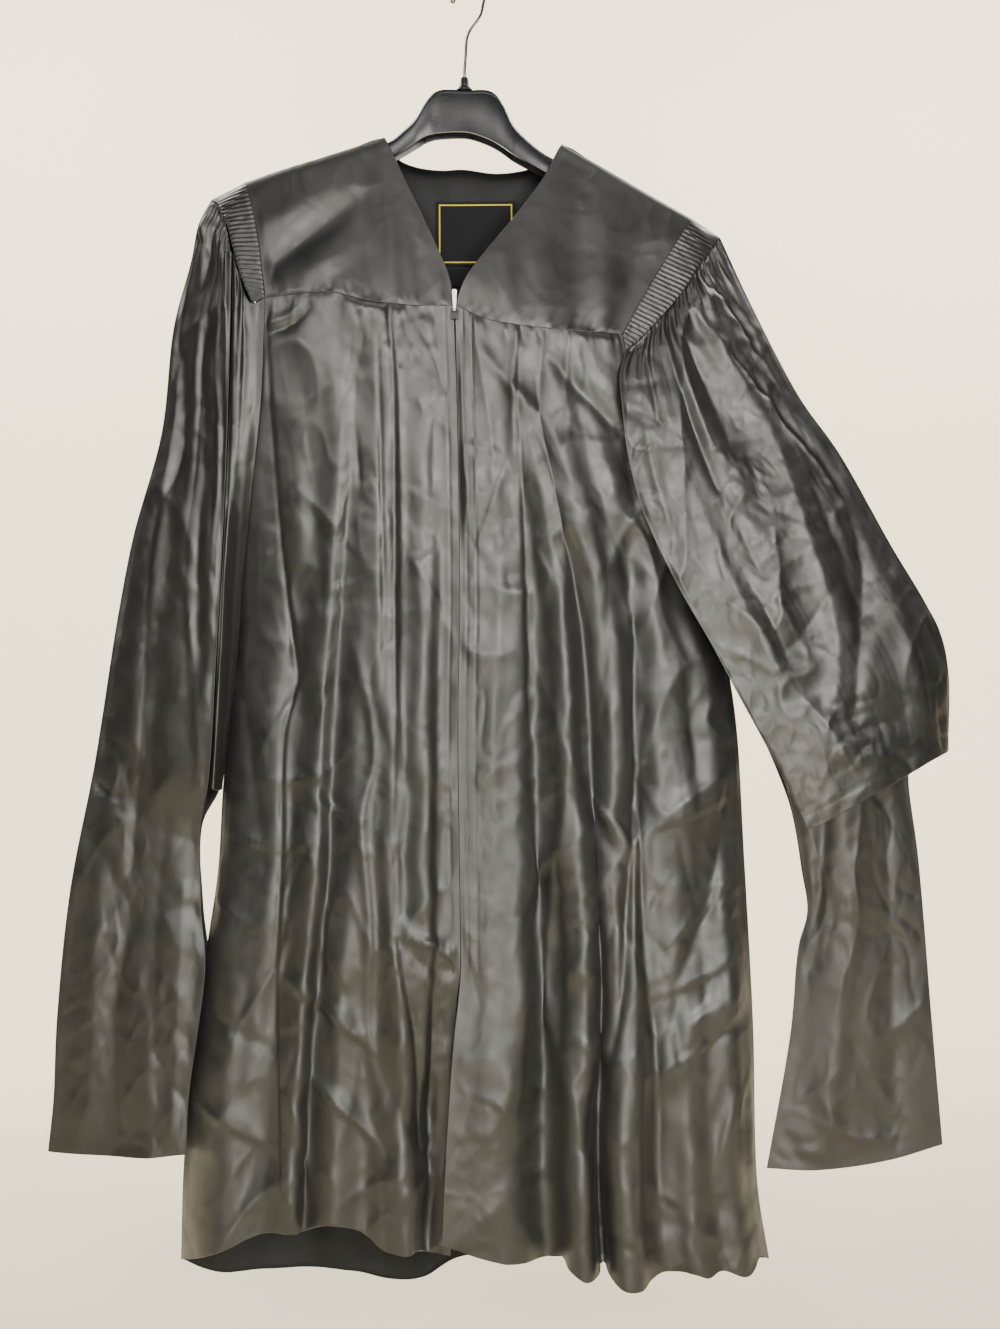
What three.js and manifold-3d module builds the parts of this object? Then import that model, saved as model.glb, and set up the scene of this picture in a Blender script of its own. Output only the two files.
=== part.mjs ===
// Graduation gown of black satin with long drop sleeves, hung flat on a plastic suit hanger.
// Millimetres, +Z up. The front faces -Y and +X is the wearer's left.
// The origin is the inner top of the hanger's hook.

import * as THREE from 'three';
import { mergeVertices } from 'three/addons/utils/BufferGeometryUtils.js';
import Module from 'manifold-3d';

// Cloth and seams
const CLOTH = 1.2;
const SEAM_GAP = 0.8;
const FOLD_FADE = 35;
// Half the room between the front and back walls where they meet at a side seam or shoulder
const MEETING = CLOTH + 0.15;

// Shoulder band of corded flutes
const FLUTE_PITCH = 5.3;
const FLUTE_RISE = 1.3;
const FLUTE_FADE = 0.07;

// Zip: two tapes behind the front edges, slider and pull tab
const TAPE_WIDTH = 12;
const TAPE_SETBACK = 0.8;
const TAPE_INSET = 0.6;
const FRONT_ROWS = 14;
const ZIP_ROWS = 10;
const ZIP_START = 0.01;
const SLIDER = { x: -13.6, y: -58.5, z: -399, width: 8, height: 11, depth: 2.4 };
const EAR = { gap: 3, thickness: 1.1, reach: 3.4, root: 0.4, height: 3.6, pinInset: 1.4 };
const PIN_RADIUS = 0.55;
const EYE = { inner: 0.9, outer: 1.5, width: 2.4 };
const PULL = {
  length: 23,
  footWidth: 3,
  endWidth: 5.3,
  thickness: 1.1,
  root: 0.4,
  neck: 1.6,
  waist: 2.6,
  rounding: 2.4,
};

// Woven labels inside the back of the neck
const LABEL_THICKNESS = 1;
const LABEL_SETBACK = 0.95;
const NECK_LABEL = { left: -38, right: 54, top: -252, bottom: -326 };
const SIZE_TAG = { left: -27, right: 5, top: -328.5, bottom: -350 };

// Hanger: shell of the plastic body, chrome wire and its collar
const HANGER_WALL = 3;
const HANGER_END_WALL = 2.4;
const HANGER_BACKBONE = { drop: 11, slope: 4.5, share: 0.6 };
const WIRE_RADIUS = 1.65;
const HOOK = { radius: 22.7, z: -21, fromAngle: -35, toAngle: 222, turnStep: 16, tip: 3.1 };
const COLLAR = {
  x: -4,
  top: -123,
  foot: -138.6,
  neck: 4.3,
  waist: 5.3,
  waistHeight: 6,
  flare: 9.5,
  bore: 2,
};

// Colours
const SATIN = 0x2b2a27;
const FACING = 0x1d1d1c;
const PLASTIC = 0x1a1b1d;
const CHROME = 0xb9b9b6;
const BRIGHT = 0xd4d4d0;
const LABEL = 0x17171a;

// Edge tables. Columns: x, y, z
const RIGHT_SHOULDER = [
  [-252, -MEETING, -243],
  [-200, -MEETING, -226],
  [-150, -MEETING, -210],
  [-95, -MEETING, -192],
];
const LEFT_SHOULDER = [
  [107, -MEETING, -200],
  [150, -MEETING, -224],
  [200, -MEETING, -253],
  [254, -MEETING, -284],
];
const RIGHT_NECK = [
  [-95, -MEETING, -192],
  [-94, -12, -195],
  [-89, -20, -206],
  [-78, -27, -230],
  [-57, -37, -276],
  [-36, -47, -322],
  [-19, -54, -364],
  [-15, -58, -394],
];
const LEFT_NECK = [
  [107, -MEETING, -200],
  [106, -12, -203],
  [100, -20, -215],
  [86, -27, -243],
  [51, -38, -293],
  [22, -48, -330],
  [-1, -55, -362],
  [-13, -58, -393],
];
const RIGHT_YOKE_SIDE = [
  [-252, -MEETING, -243],
  [-251, -12, -246],
  [-247, -20, -256],
  [-238, -30, -290],
  [-229, -40, -343],
  [-224, -46, -383],
];
const LEFT_YOKE_SIDE = [
  [254, -MEETING, -284],
  [252, -12, -287],
  [244, -20, -300],
  [212, -31, -352],
  [188, -39, -394],
  [172, -44, -423],
];
const RIGHT_YOKE_SEAM = [
  [-224, -46, -383],
  [-153, -57, -379],
  [-112, -59, -388],
  [-64, -59, -394],
  [-15, -58, -394],
];
const LEFT_YOKE_SEAM = [
  [-13, -58, -393],
  [18, -59, -408],
  [58, -59, -416],
  [116, -56, -421],
  [172, -44, -423],
];
const BACK_NECK = [
  [107, MEETING, -200],
  [95, 19, -212],
  [68, 25, -220],
  [32, 27, -224],
  [-6, 28, -219],
  [-32, 28, -220],
  [-58, 27, -217],
  [-77, 23, -211],
  [-90, 16, -201],
  [-95, MEETING, -192],
];
const BACK_YOKE_SEAM = [
  [172, 36, -423],
  [100, 40, -402],
  [0, 41, -396],
  [-120, 41, -396],
  [-224, 38, -383],
];

// Sleeve side of each shoulder band, from the shoulder down. Columns: x, y, z
const RIGHT_BAND_SLEEVE = [
  [-291, -MEETING, -262],
  [-280, -14, -273],
  [-271, -25, -294],
  [-261, -35, -328],
  [-252, -41, -358],
  [-239, -45, -389],
];
const LEFT_BAND_SLEEVE = [
  [286, -MEETING, -305],
  [264, -20, -336],
  [240, -31, -374],
  [211, -38, -408],
  [186, -41, -434],
  [176, -43, -441],
];

// Outer edges of the body, armhole seam and then side seam. Columns: x, y, z
const RIGHT_SIDE = [
  [-224, -46, -383],
  [-233, -37, -500],
  [-247, -24, -610],
  [-260, -6, -715],
  [-262, -MEETING, -745],
  [-278, -MEETING, -925],
  [-284, -MEETING, -1023],
  [-299, -MEETING, -1128],
  [-322, -MEETING, -1343],
  [-326, -MEETING, -1465],
];
const LEFT_SIDE = [
  [172, -44, -423],
  [192, -36, -520],
  [232, -24, -620],
  [268, -6, -700],
  [291, -MEETING, -775],
  [304, -MEETING, -850],
  [314, -MEETING, -1011],
  [324, -MEETING, -1198],
  [329, -MEETING, -1380],
  [342, -MEETING, -1464],
];

// Front edges: they meet over the zip, and below it the left panel lies over the right one
const RIGHT_CENTRE = [
  [-15, -58, -394],
  [-11.3, -58, -499],
  [-8.3, -58, -719],
  [-10.3, -58, -851],
  [-7.4, -58, -1100],
  [-7.6, -57, -1130],
  [-11.5, -52, -1165],
  [-13, -47, -1200],
  [-15, -42, -1320],
  [-19, -42, -1446],
];
const LEFT_CENTRE = [
  [-13, -58, -393],
  [-10.7, -58, -499],
  [-7.7, -58, -719],
  [-9.7, -58, -851],
  [-6.8, -58, -1100],
  [-6.9, -58.5, -1130],
  [-10, -61, -1165],
  [-14, -64, -1200],
  [-22, -70, -1316],
  [-27, -72, -1424],
];

// Hems, with the depth of each tube fold. Columns: x, y, z
const RIGHT_HEM = [
  [-326, -MEETING, -1465],
  [-297, -38, -1448],
  [-257, -60, -1429],
  [-226, -54, -1417],
  [-194, -68, -1414],
  [-181, -48, -1415],
  [-150, -66, -1403],
  [-113, -60, -1415],
  [-91, -66, -1432],
  [-66, -68, -1435],
  [-54, -62, -1434],
  [-48, -44, -1441],
  [-19, -42, -1446],
];
const LEFT_HEM = [
  [-27, -72, -1424],
  [17, -68, -1440],
  [50, -62, -1448],
  [84, -46, -1449],
  [105, -54, -1444],
  [114, -72, -1457],
  [132, -80, -1468],
  [145, -66, -1461],
  [150, -52, -1452],
  [158, -72, -1463],
  [172, -86, -1475],
  [190, -84, -1477],
  [202, -66, -1468],
  [218, -54, -1461],
  [252, -64, -1461],
  [266, -60, -1465],
  [282, -50, -1460],
  [312, -46, -1468],
  [328, -24, -1454],
  [342, -MEETING, -1464],
];
const BACK_HEM = [
  [342, MEETING, -1464],
  [318, 24, -1472],
  [270, 46, -1478],
  [205, 38, -1474],
  [150, 52, -1482],
  [90, 42, -1478],
  [8, 54, -1482],
  [-21, 48, -1485],
  [-51, 40, -1501],
  [-85, 52, -1509],
  [-135, 44, -1496],
  [-194, 54, -1495],
  [-241, 44, -1494],
  [-282, 40, -1496],
  [-306, 24, -1484],
  [-326, MEETING, -1465],
];

// Wearer's right sleeve, its long layer turned to the front. Columns: x, y, z
const RIGHT_SLEEVE_OUTER = [
  [-292, -MEETING, -263],
  [-306, -MEETING, -290],
  [-314, -MEETING, -330],
  [-334, -MEETING, -406],
  [-348, -MEETING, -527],
  [-380, -MEETING, -644],
  [-398, -MEETING, -737],
  [-424, -MEETING, -902],
  [-452, -MEETING, -1047],
  [-467, -MEETING, -1193],
  [-471, -MEETING, -1286],
  [-477, -MEETING, -1343],
];
const RIGHT_SLEEVE_FOLD = [
  [-263, -37, -331.5],
  [-264, -44, -444],
  [-270, -44, -609],
  [-279, -42, -774],
  [-290, -34, -925],
  [-302, -16, -972],
  [-301, -16, -1062],
  [-295, -22, -1127],
  [-313, -24, -1275],
  [-316, -24, -1340],
];
const RIGHT_SLEEVE_FOOT = [
  [-477, -MEETING, -1343],
  [-440, -9, -1344],
  [-370, -20, -1344],
  [-316, -24, -1340],
];
const RIGHT_SLEEVE_BACK_FOOT = [
  [-316, -20.5, -1340],
  [-370, -13, -1344],
  [-440, -2, -1344],
  [-477, MEETING, -1343],
];
const RIGHT_CUFF = [[-288.4, -30, -925], [-284, -33, -929], [-277, -14, -931]];
const RIGHT_INNER = [
  [-225.8, -46.8, -386.4],
  [-232.6, -39.8, -500],
  [-246.2, -27.2, -610],
  [-259, -13, -715],
  [-261.5, -12, -760],
  [-277, -14, -931],
];
const RIGHT_SLEEVE_BACK_INNER = [
  [-238.5, 40, -391],
  [-238, 34, -500],
  [-249, 22, -610],
  [-263.5, 8, -715],
  [-280.5, 4, -925],
  [-302, -4, -972],
  [-301, -12.5, -1062],
  [-295, -18.5, -1127],
  [-313, -20.5, -1275],
  [-316, -20.5, -1340],
];

// Wearer's left sleeve, swung out so that its wrist opening shows. Columns: x, y, z
const LEFT_SLEEVE_OUTER = [
  [286.6, -MEETING, -305.6],
  [321, -MEETING, -380],
  [377, -MEETING, -487],
  [421, -MEETING, -549],
  [482, -MEETING, -657],
  [518, -MEETING, -717],
  [538, -MEETING, -758],
  [546, -MEETING, -800],
  [546, -MEETING, -888],
];
const LEFT_SLEEVE_FOLD = [
  [175.4, -44, -442.4],
  [168, -56, -470],
  [170, -66, -507],
  [177, -70, -566],
  [193, -72, -624],
  [228, -70, -699],
  [267, -66, -766],
  [299, -64, -825],
  [338, -60, -896],
  [364, -54, -947],
];
const LEFT_CUFF = [
  [364, -54, -947],
  [376, -58, -970],
  [415, -60, -951],
  [448, -56, -933],
  [490, -46, -912],
  [522, -30, -895],
  [546, -MEETING, -888],
];
const LEFT_SLEEVE_BACK_OUTER = [
  [286.6, MEETING, -305.6],
  [321, MEETING, -380],
  [377, MEETING, -487],
  [421, MEETING, -549],
  [482, MEETING, -657],
  [518, MEETING, -717],
  [538, MEETING, -758],
  [540, MEETING, -805],
  [512, MEETING, -868],
  [498, MEETING, -920],
  [511, MEETING, -1010],
  [528, MEETING, -1207],
  [539, MEETING, -1335],
];
const LEFT_SLEEVE_BACK_INNER = [
  [178, 42, -443],
  [194.5, 36, -520],
  [234.5, 24, -620],
  [270.5, 6, -700],
  [294, 3, -775],
  [330, MEETING, -860],
  [366, MEETING, -950],
  [380, MEETING, -1026],
  [386, MEETING, -1071],
  [376, MEETING, -1110],
  [367, MEETING, -1207],
  [340, MEETING, -1362],
];
const LEFT_DROP_TOP = [[352, -9, -900], [385, -26, -884], [440, -28, -872], [500, -9, -880]];
const LEFT_DROP_INNER = [
  [352, -9, -900],
  [367, -14, -956],
  [380, -10, -1026],
  [386, -6, -1071],
  [376, -4, -1110],
  [367, -MEETING, -1207],
  [340, -MEETING, -1362],
];
const LEFT_DROP_OUTER = [
  [500, -9, -880],
  [499, -7, -920],
  [511, -4, -1010],
  [528, -MEETING, -1207],
  [539, -MEETING, -1335],
];
const LEFT_DROP_FOOT = [[340, -MEETING, -1362], [396, -9, -1362], [475, -9, -1351], [539, -MEETING, -1335]];

// Cloth turned under behind the folded front edge of the left sleeve. Columns: outwards, behind
const SLEEVE_RETURN = [[26, 9], [9, 7.6], [0.6, 4.2]];

// Folds: ridges where the rise is positive, troughs where it is negative.
// Columns: top x, top z, foot x, foot z, bow towards +X, width, rise at top, rise at foot
const RIGHT_FRONT_FOLDS = [
  [-93, -400, -64, -1430, -7, 8, 5, 13],
  [-78, -400, -46, -1430, -7, 9, -4, -12],
  [-224, -440, -190, -810, 0, 10, -4, -12],
  [-192, -830, -205, -1415, -4, 10, -12, -15],
  [-205, -450, -174, -810, 0, 12, 4, 8],
  [-176, -830, -184, -1410, 0, 13, 8, 8],
  [-118, -415, -50, -600, 6, 13, 4, 4],
  [-150, -430, -150, -1400, 6, 20, 3, 9],
  [-122, -640, -122, -1410, 0, 12, -2, -12],
  [-50, -680, -42, -1120, 0, 11, 4, 6],
  [-255, -800, -290, -1440, 0, 15, 4, 10],
  [-232, -960, -252, -1440, 0, 9, -2, -10],
];
const LEFT_FRONT_FOLDS = [
  [47, -420, 58, -1160, 6, 9, 4, 8],
  [62, -430, 76, -1040, 4, 9, -3, -10],
  [78, -1040, 89, -1440, 2, 13, -14, -16],
  [2, -430, 179, -722, -10, 13, 4, 8],
  [92, -454, 173, -545, -4, 14, -7, -12],
  [176, -560, 181, -940, 7, 11, -12, -16],
  [180, -940, 163, -1235, 2, 12, -16, -10],
  [133, -884, 174, -1048, -5, 9, -10, -8],
  [200, -741, 216, -1214, 0, 12, 8, 10],
  [128, -1290, 149, -1452, 0, 8, -8, -10],
  [150, -1120, 178, -1475, 0, 15, 8, 8],
  [108, -1190, 131, -1468, 0, 11, 5, 6],
  [24, -640, 34, -1440, 0, 14, 4, 7],
  [290, -930, 274, -1062, 0, 12, -8, -8],
  [306, -1150, 222, -1240, -6, 14, 8, 8],
  [236, -850, 244, -1455, 4, 12, -4, -12],
  [110, -560, 104, -900, 4, 16, 5, 6],
];
const BACK_FOLDS = [
  [150, -425, 262, -1470, 0, 17, 5, 12],
  [112, -425, 196, -1470, -4, 16, 6, 14],
  [74, -425, 130, -1470, 3, 15, 5, 13],
  [36, -425, 66, -1470, 0, 15, 6, 14],
  [-2, -425, 4, -1470, -4, 15, 5, 12],
  [-40, -425, -58, -1470, 4, 15, 6, 14],
  [-78, -425, -122, -1470, 0, 15, 5, 13],
  [-116, -425, -186, -1470, -3, 16, 6, 13],
  [-154, -425, -244, -1470, 3, 17, 5, 12],
];
const RIGHT_DROP_FOLDS = [
  [-298, -300, -316, -700, 0, 7, 5, 3],
  [-287, -300, -300, -760, 0, 5, -4, -6],
  [-277, -310, -284, -900, 0, 6, 5, 6],
  [-268, -330, -272, -620, 0, 4, -3, -4],
  [-322, -400, -352, -900, 0, 8, -5, -6],
  [-338, -500, -388, -1000, 0, 12, 4, 6],
  [-330, -900, -352, -1330, 0, 14, 4, 5],
  [-372, -900, -410, -1335, 0, 13, -4, -5],
];
const RIGHT_STRIP_FOLDS = [
  [-253, -370, -258, -620, 0, 5, 4, 4],
  [-243, -392, -248, -560, 0, 4, 3, 3],
  [-264, -640, -281, -925, 0, 6, 4, 4],
];
const LEFT_SLEEVE_FOLDS = [
  [187, -440, 206, -640, -3, 7, 6, 3],
  [203, -422, 244, -660, -4, 7, 6, 4],
  [220, -404, 286, -690, -4, 8, 6, 4],
  [237, -384, 326, -700, -4, 8, 6, 4],
  [252, -360, 366, -690, -4, 8, 5, 4],
  [268, -336, 402, -680, -4, 8, 5, 3],
  [300, -520, 380, -760, 6, 16, -4, -6],
  [360, -640, 452, -800, 8, 16, 5, 6],
  [300, -740, 400, -940, 4, 14, 5, 5],
  [440, -720, 486, -900, 0, 14, -5, -6],
];
const LEFT_DROP_FOLDS = [
  [399, -960, 404, -1040, 0, 7, -8, -6],
  [420, -960, 398, -1340, 8, 14, 5, 4],
  [462, -930, 480, -1340, 0, 14, -4, -4],
];
const SLEEVE_BACK_FOLDS = [
  [262, -360, 340, -800, 0, 14, 5, 5],
  [232, -400, 286, -700, 0, 12, 5, 4],
  [300, -420, 420, -800, 0, 14, -4, -5],
  [-268, -330, -300, -900, 0, 10, 5, 5],
  [-290, -330, -345, -1000, 0, 10, -4, -5],
  [-310, -360, -390, -1100, 0, 12, 5, 5],
];

// Hanger body seen from the front. Columns: x, top, foot, half depth
const HANGER_STATIONS = [
  [-232, -239.5, -252, 7],
  [-226, -236.6, -258, 9.5],
  [-200, -227.6, -254, 10],
  [-150, -211.6, -238, 10],
  [-120, -204.5, -229, 11],
  [-91, -198, -219, 12],
  [-72, -184, -208, 14],
  [-59, -171, -200, 15],
  [-49, -154, -194, 14.5],
  [-41, -144, -191, 14],
  [-32, -139, -189.5, 14],
  [0, -139, -189, 14],
  [22, -139, -196, 14],
  [32, -144, -201, 14],
  [41, -157, -207, 14.5],
  [51, -178, -214, 15],
  [69, -197, -224, 14],
  [94, -215, -237, 12],
  [130, -228, -251, 11],
  [165, -241, -264, 10],
  [200, -254.7, -279, 10],
  [224, -268.6, -289, 9.5],
  [230, -273, -286, 7],
];

// Stem of the hook, from inside the collar up to its round. Columns: x, z
const HOOK_STEM = [[-4, -137.5], [-4, -120], [-2.6, -98], [-1, -78], [2.5, -69], [9, -60], [14.5, -51]];

// Library that joins and cuts closed solids
const library = await Module();
library.setup();

// Curves and surfaces
function edge(rows) {
  const points = rows.map(([x, y, z]) => new THREE.Vector3(x, y, z));
  return new THREE.CatmullRomCurve3(points, false, 'centripetal');
}

function moved(rows, byX, byY, byZ) {
  return rows.map(([x, y, z]) => [x + byX, y + byY, z + byZ]);
}

function mirroredToBack(rows) {
  return rows.map(([x, y, z]) => [x, -y, z]);
}

// A surface between four edges: u runs along the top and the bottom, v down both sides
function between(top, bottom, start, end) {
  const edges = { top: edge(top), bottom: edge(bottom), start: edge(start), end: edge(end) };
  const ends = (curve) => [curve.getPoint(0), curve.getPoint(1)];
  const corners = [...ends(edges.top), ...ends(edges.bottom)];
  const shares = (u, v) => [(1 - u) * (1 - v), u * (1 - v), (1 - u) * v, u * v];
  return (u, v) => {
    const point = new THREE.Vector3();
    point.addScaledVector(edges.top.getPointAt(u), 1 - v);
    point.addScaledVector(edges.bottom.getPointAt(u), v);
    point.addScaledVector(edges.start.getPointAt(v), 1 - u);
    point.addScaledVector(edges.end.getPointAt(v), u);
    shares(u, v).forEach((share, index) => point.addScaledVector(corners[index], -share));
    return point;
  };
}

// How far the folds lift the cloth at x and z
function foldRise(folds, x, z) {
  let total = 0;
  for (const [topX, topZ, footX, footZ, bow, width, topRise, footRise] of folds) {
    const runX = footX - topX;
    const runZ = footZ - topZ;
    const length = Math.hypot(runX, runZ);
    const along = ((x - topX) * runX + (z - topZ) * runZ) / length ** 2;
    const inside = THREE.MathUtils.clamp(along, 0, 1);
    const bend = bow * 4 * inside * (1 - inside);
    const across = ((z - topZ) * runX - (x - topX) * runZ) / length - bend;
    const past = ((along - inside) * length) / FOLD_FADE;
    const rise = THREE.MathUtils.lerp(topRise, footRise, inside);
    total += rise * Math.exp(-((across / width) ** 2) - past ** 2);
  }
  return total;
}

// Folds die out at seams, so that neighbouring panels still meet there
function seamFade(share, reach) {
  return THREE.MathUtils.smoothstep(share, 0, reach);
}

// Facing is -1 on the front and 1 on the back. Cloth keeps to its own side of the clear plane.
function folded(surface, folds, facing, fadeAt, clear = -Infinity) {
  return (u, v) => {
    const point = surface(u, v);
    const lift = facing * point.y + foldRise(folds, point.x, point.z) * fadeAt(u, v);
    point.y = facing * Math.max(lift, clear);
    return point;
  };
}

// The direction from the outer face of a surface towards its inner face
function inwardAt(surface, u, v) {
  const step = 0.01;
  const fromU = Math.max(u - step, 0);
  const toU = Math.min(u + step, 1);
  const fromV = Math.max(v - step, 0);
  const toV = Math.min(v + step, 1);
  const alongU = surface(toU, v).sub(surface(fromU, v));
  const alongV = surface(u, toV).sub(surface(u, fromV));
  return alongU.cross(alongV).normalize();
}

// A closed wall of cloth. Seen on its outer face, u runs to the right and v runs down.
// Relief raises the outer face alone.
function clothWall(columns, rows, surface, { thickness = CLOTH, relief = () => 0 } = {}) {
  const positions = [];
  const grid = [];
  for (let j = 0; j <= rows; j += 1) {
    for (let i = 0; i <= columns; i += 1) {
      grid.push([i / columns, j / rows]);
    }
  }
  for (const [u, v] of grid) {
    const outer = surface(u, v).addScaledVector(inwardAt(surface, u, v), -relief(u, v));
    positions.push(outer.x, outer.y, outer.z);
  }
  for (const [u, v] of grid) {
    const inner = surface(u, v).addScaledVector(inwardAt(surface, u, v), thickness);
    positions.push(inner.x, inner.y, inner.z);
  }
  const outerAt = (i, j) => j * (columns + 1) + i;
  const innerAt = (i, j) => grid.length + outerAt(i, j);
  const faces = [];
  const quad = (a, b, c, d) => faces.push(a, b, c, a, c, d);
  for (let j = 0; j < rows; j += 1) {
    for (let i = 0; i < columns; i += 1) {
      quad(outerAt(i, j), outerAt(i, j + 1), outerAt(i + 1, j + 1), outerAt(i + 1, j));
      quad(innerAt(i, j), innerAt(i + 1, j), innerAt(i + 1, j + 1), innerAt(i, j + 1));
    }
  }
  for (let i = 0; i < columns; i += 1) {
    quad(outerAt(i, 0), outerAt(i + 1, 0), innerAt(i + 1, 0), innerAt(i, 0));
    quad(outerAt(i + 1, rows), outerAt(i, rows), innerAt(i, rows), innerAt(i + 1, rows));
  }
  for (let j = 0; j < rows; j += 1) {
    quad(outerAt(0, j + 1), outerAt(0, j), innerAt(0, j), innerAt(0, j + 1));
    quad(outerAt(columns, j), outerAt(columns, j + 1), innerAt(columns, j + 1), innerAt(columns, j));
  }
  const geometry = new THREE.BufferGeometry();
  geometry.setAttribute('position', new THREE.Float32BufferAttribute(positions, 3));
  geometry.setIndex(faces);
  return geometry;
}

// The place on a panel that lies at x and z, moved in by a distance
function onPanel(surface, x, z, distance) {
  let u = 0.5;
  let v = 0.5;
  const step = 0.01;
  for (let round = 0; round < 25; round += 1) {
    const here = surface(u, v);
    const nextU = surface(Math.min(u + step, 1), v);
    const nextV = surface(u, Math.min(v + step, 1));
    const stepU = Math.min(u + step, 1) - u || step;
    const stepV = Math.min(v + step, 1) - v || step;
    const a = (nextU.x - here.x) / stepU;
    const b = (nextV.x - here.x) / stepV;
    const c = (nextU.z - here.z) / stepU;
    const d = (nextV.z - here.z) / stepV;
    const determinant = a * d - b * c || 1;
    const missX = x - here.x;
    const missZ = z - here.z;
    u = THREE.MathUtils.clamp(u + (0.8 * (d * missX - b * missZ)) / determinant, 0, 0.99);
    v = THREE.MathUtils.clamp(v + (0.8 * (a * missZ - c * missX)) / determinant, 0, 0.99);
  }
  return surface(u, v).addScaledVector(inwardAt(surface, u, v), distance);
}

// Joining and cutting of small hard pieces
function toSolid(geometry) {
  const plain = geometry.clone();
  plain.deleteAttribute('normal');
  plain.deleteAttribute('uv');
  const merged = mergeVertices(plain, 1e-4);
  const mesh = new library.Mesh({
    numProp: 3,
    vertProperties: new Float32Array(merged.attributes.position.array),
    triVerts: new Uint32Array(merged.index.array),
  });
  return new library.Manifold(mesh);
}

function fromSolid(solid) {
  const mesh = solid.getMesh();
  const geometry = new THREE.BufferGeometry();
  geometry.setAttribute('position', new THREE.Float32BufferAttribute(mesh.vertProperties, 3));
  geometry.setIndex(Array.from(mesh.triVerts));
  return geometry;
}

// Panel surfaces of the gown
const shoulderEase = (v) => v ** 1.4;
const rightYoke = between(RIGHT_SHOULDER, RIGHT_YOKE_SEAM, RIGHT_YOKE_SIDE, RIGHT_NECK);
const leftYoke = between(LEFT_SHOULDER, LEFT_YOKE_SEAM, LEFT_NECK, LEFT_YOKE_SIDE);
const backYokeTop = [
  ...mirroredToBack(LEFT_SHOULDER).reverse(),
  ...BACK_NECK.slice(1, -1),
  ...mirroredToBack(RIGHT_SHOULDER).reverse(),
];
const backYoke = between(
  backYokeTop,
  BACK_YOKE_SEAM,
  [...mirroredToBack(LEFT_YOKE_SIDE.slice(0, -1)), BACK_YOKE_SEAM.at(0)],
  [...mirroredToBack(RIGHT_YOKE_SIDE.slice(0, -1)), BACK_YOKE_SEAM.at(-1)],
);

const belowYoke = (rows) => moved(rows, 0, 0, -SEAM_GAP);
const frontFade = (u, v) => seamFade(v, 0.05) * seamFade(Math.min(u, 1 - u), 0.08);
const rightFront = folded(
  between(belowYoke(RIGHT_YOKE_SEAM), RIGHT_HEM, belowYoke(RIGHT_SIDE), belowYoke(RIGHT_CENTRE)),
  RIGHT_FRONT_FOLDS,
  -1,
  frontFade,
  MEETING,
);
const leftFront = folded(
  between(belowYoke(LEFT_YOKE_SEAM), LEFT_HEM, belowYoke(LEFT_CENTRE), belowYoke(LEFT_SIDE)),
  LEFT_FRONT_FOLDS,
  -1,
  frontFade,
  MEETING,
);
const backPanel = folded(
  between(
    belowYoke(BACK_YOKE_SEAM),
    BACK_HEM,
    [...belowYoke([BACK_YOKE_SEAM.at(0)]), ...mirroredToBack(LEFT_SIDE).slice(1)],
    [...belowYoke([BACK_YOKE_SEAM.at(-1)]), ...mirroredToBack(RIGHT_SIDE).slice(1)],
  ),
  BACK_FOLDS,
  1,
  frontFade,
  MEETING,
);

// Shoulder bands run from the back, over the shoulder, to the front
function overShoulder(frontRows) {
  const back = mirroredToBack(frontRows).reverse();
  return [...back, ...frontRows];
}
const bandBetween = (outer, inner) => between(
  [outer.at(0), inner.at(0)],
  [outer.at(-1), inner.at(-1)],
  outer,
  inner,
);
const rightBand = bandBetween(
  overShoulder(RIGHT_BAND_SLEEVE),
  overShoulder(moved(RIGHT_YOKE_SIDE, -SEAM_GAP, 0, 0)),
);
const leftBand = bandBetween(
  overShoulder(moved(LEFT_YOKE_SIDE, SEAM_GAP, 0, 0)),
  overShoulder(LEFT_BAND_SLEEVE),
);

function fluteRelief(flutes) {
  return (u, v) => {
    const crest = Math.round(v * flutes * 2) % 2 === 1 ? 1 : 0;
    const atShoulder = THREE.MathUtils.smoothstep(Math.abs(v - 0.5), 0.01, FLUTE_FADE);
    return FLUTE_RISE * crest * atShoulder;
  };
}

// Sleeves of the wearer's right arm
const rightBandFrontHalf = moved(RIGHT_BAND_SLEEVE, -1.2, 0, -SEAM_GAP);
const rightDrop = folded(
  between(
    [RIGHT_SLEEVE_OUTER.at(0), ...rightBandFrontHalf.slice(1, 3), RIGHT_SLEEVE_FOLD.at(0)],
    RIGHT_SLEEVE_FOOT,
    RIGHT_SLEEVE_OUTER,
    RIGHT_SLEEVE_FOLD,
  ),
  RIGHT_DROP_FOLDS,
  -1,
  (u, v) => seamFade(v, 0.03) * seamFade(Math.min(u, 1 - u), 0.12),
);
const foldTucked = moved(RIGHT_SLEEVE_FOLD.slice(0, 4), 1.5, 2, 0);
const rightStrip = folded(
  between(
    [foldTucked.at(0), [-253.4, -41.5, -361], [-240.4, -45.5, -391.6], RIGHT_INNER.at(0)],
    RIGHT_CUFF,
    [...foldTucked, RIGHT_CUFF.at(0)],
    RIGHT_INNER,
  ),
  RIGHT_STRIP_FOLDS,
  -1,
  (u, v) => seamFade(v, 0.05) * seamFade(Math.min(u, 1 - u), 0.2),
);
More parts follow.
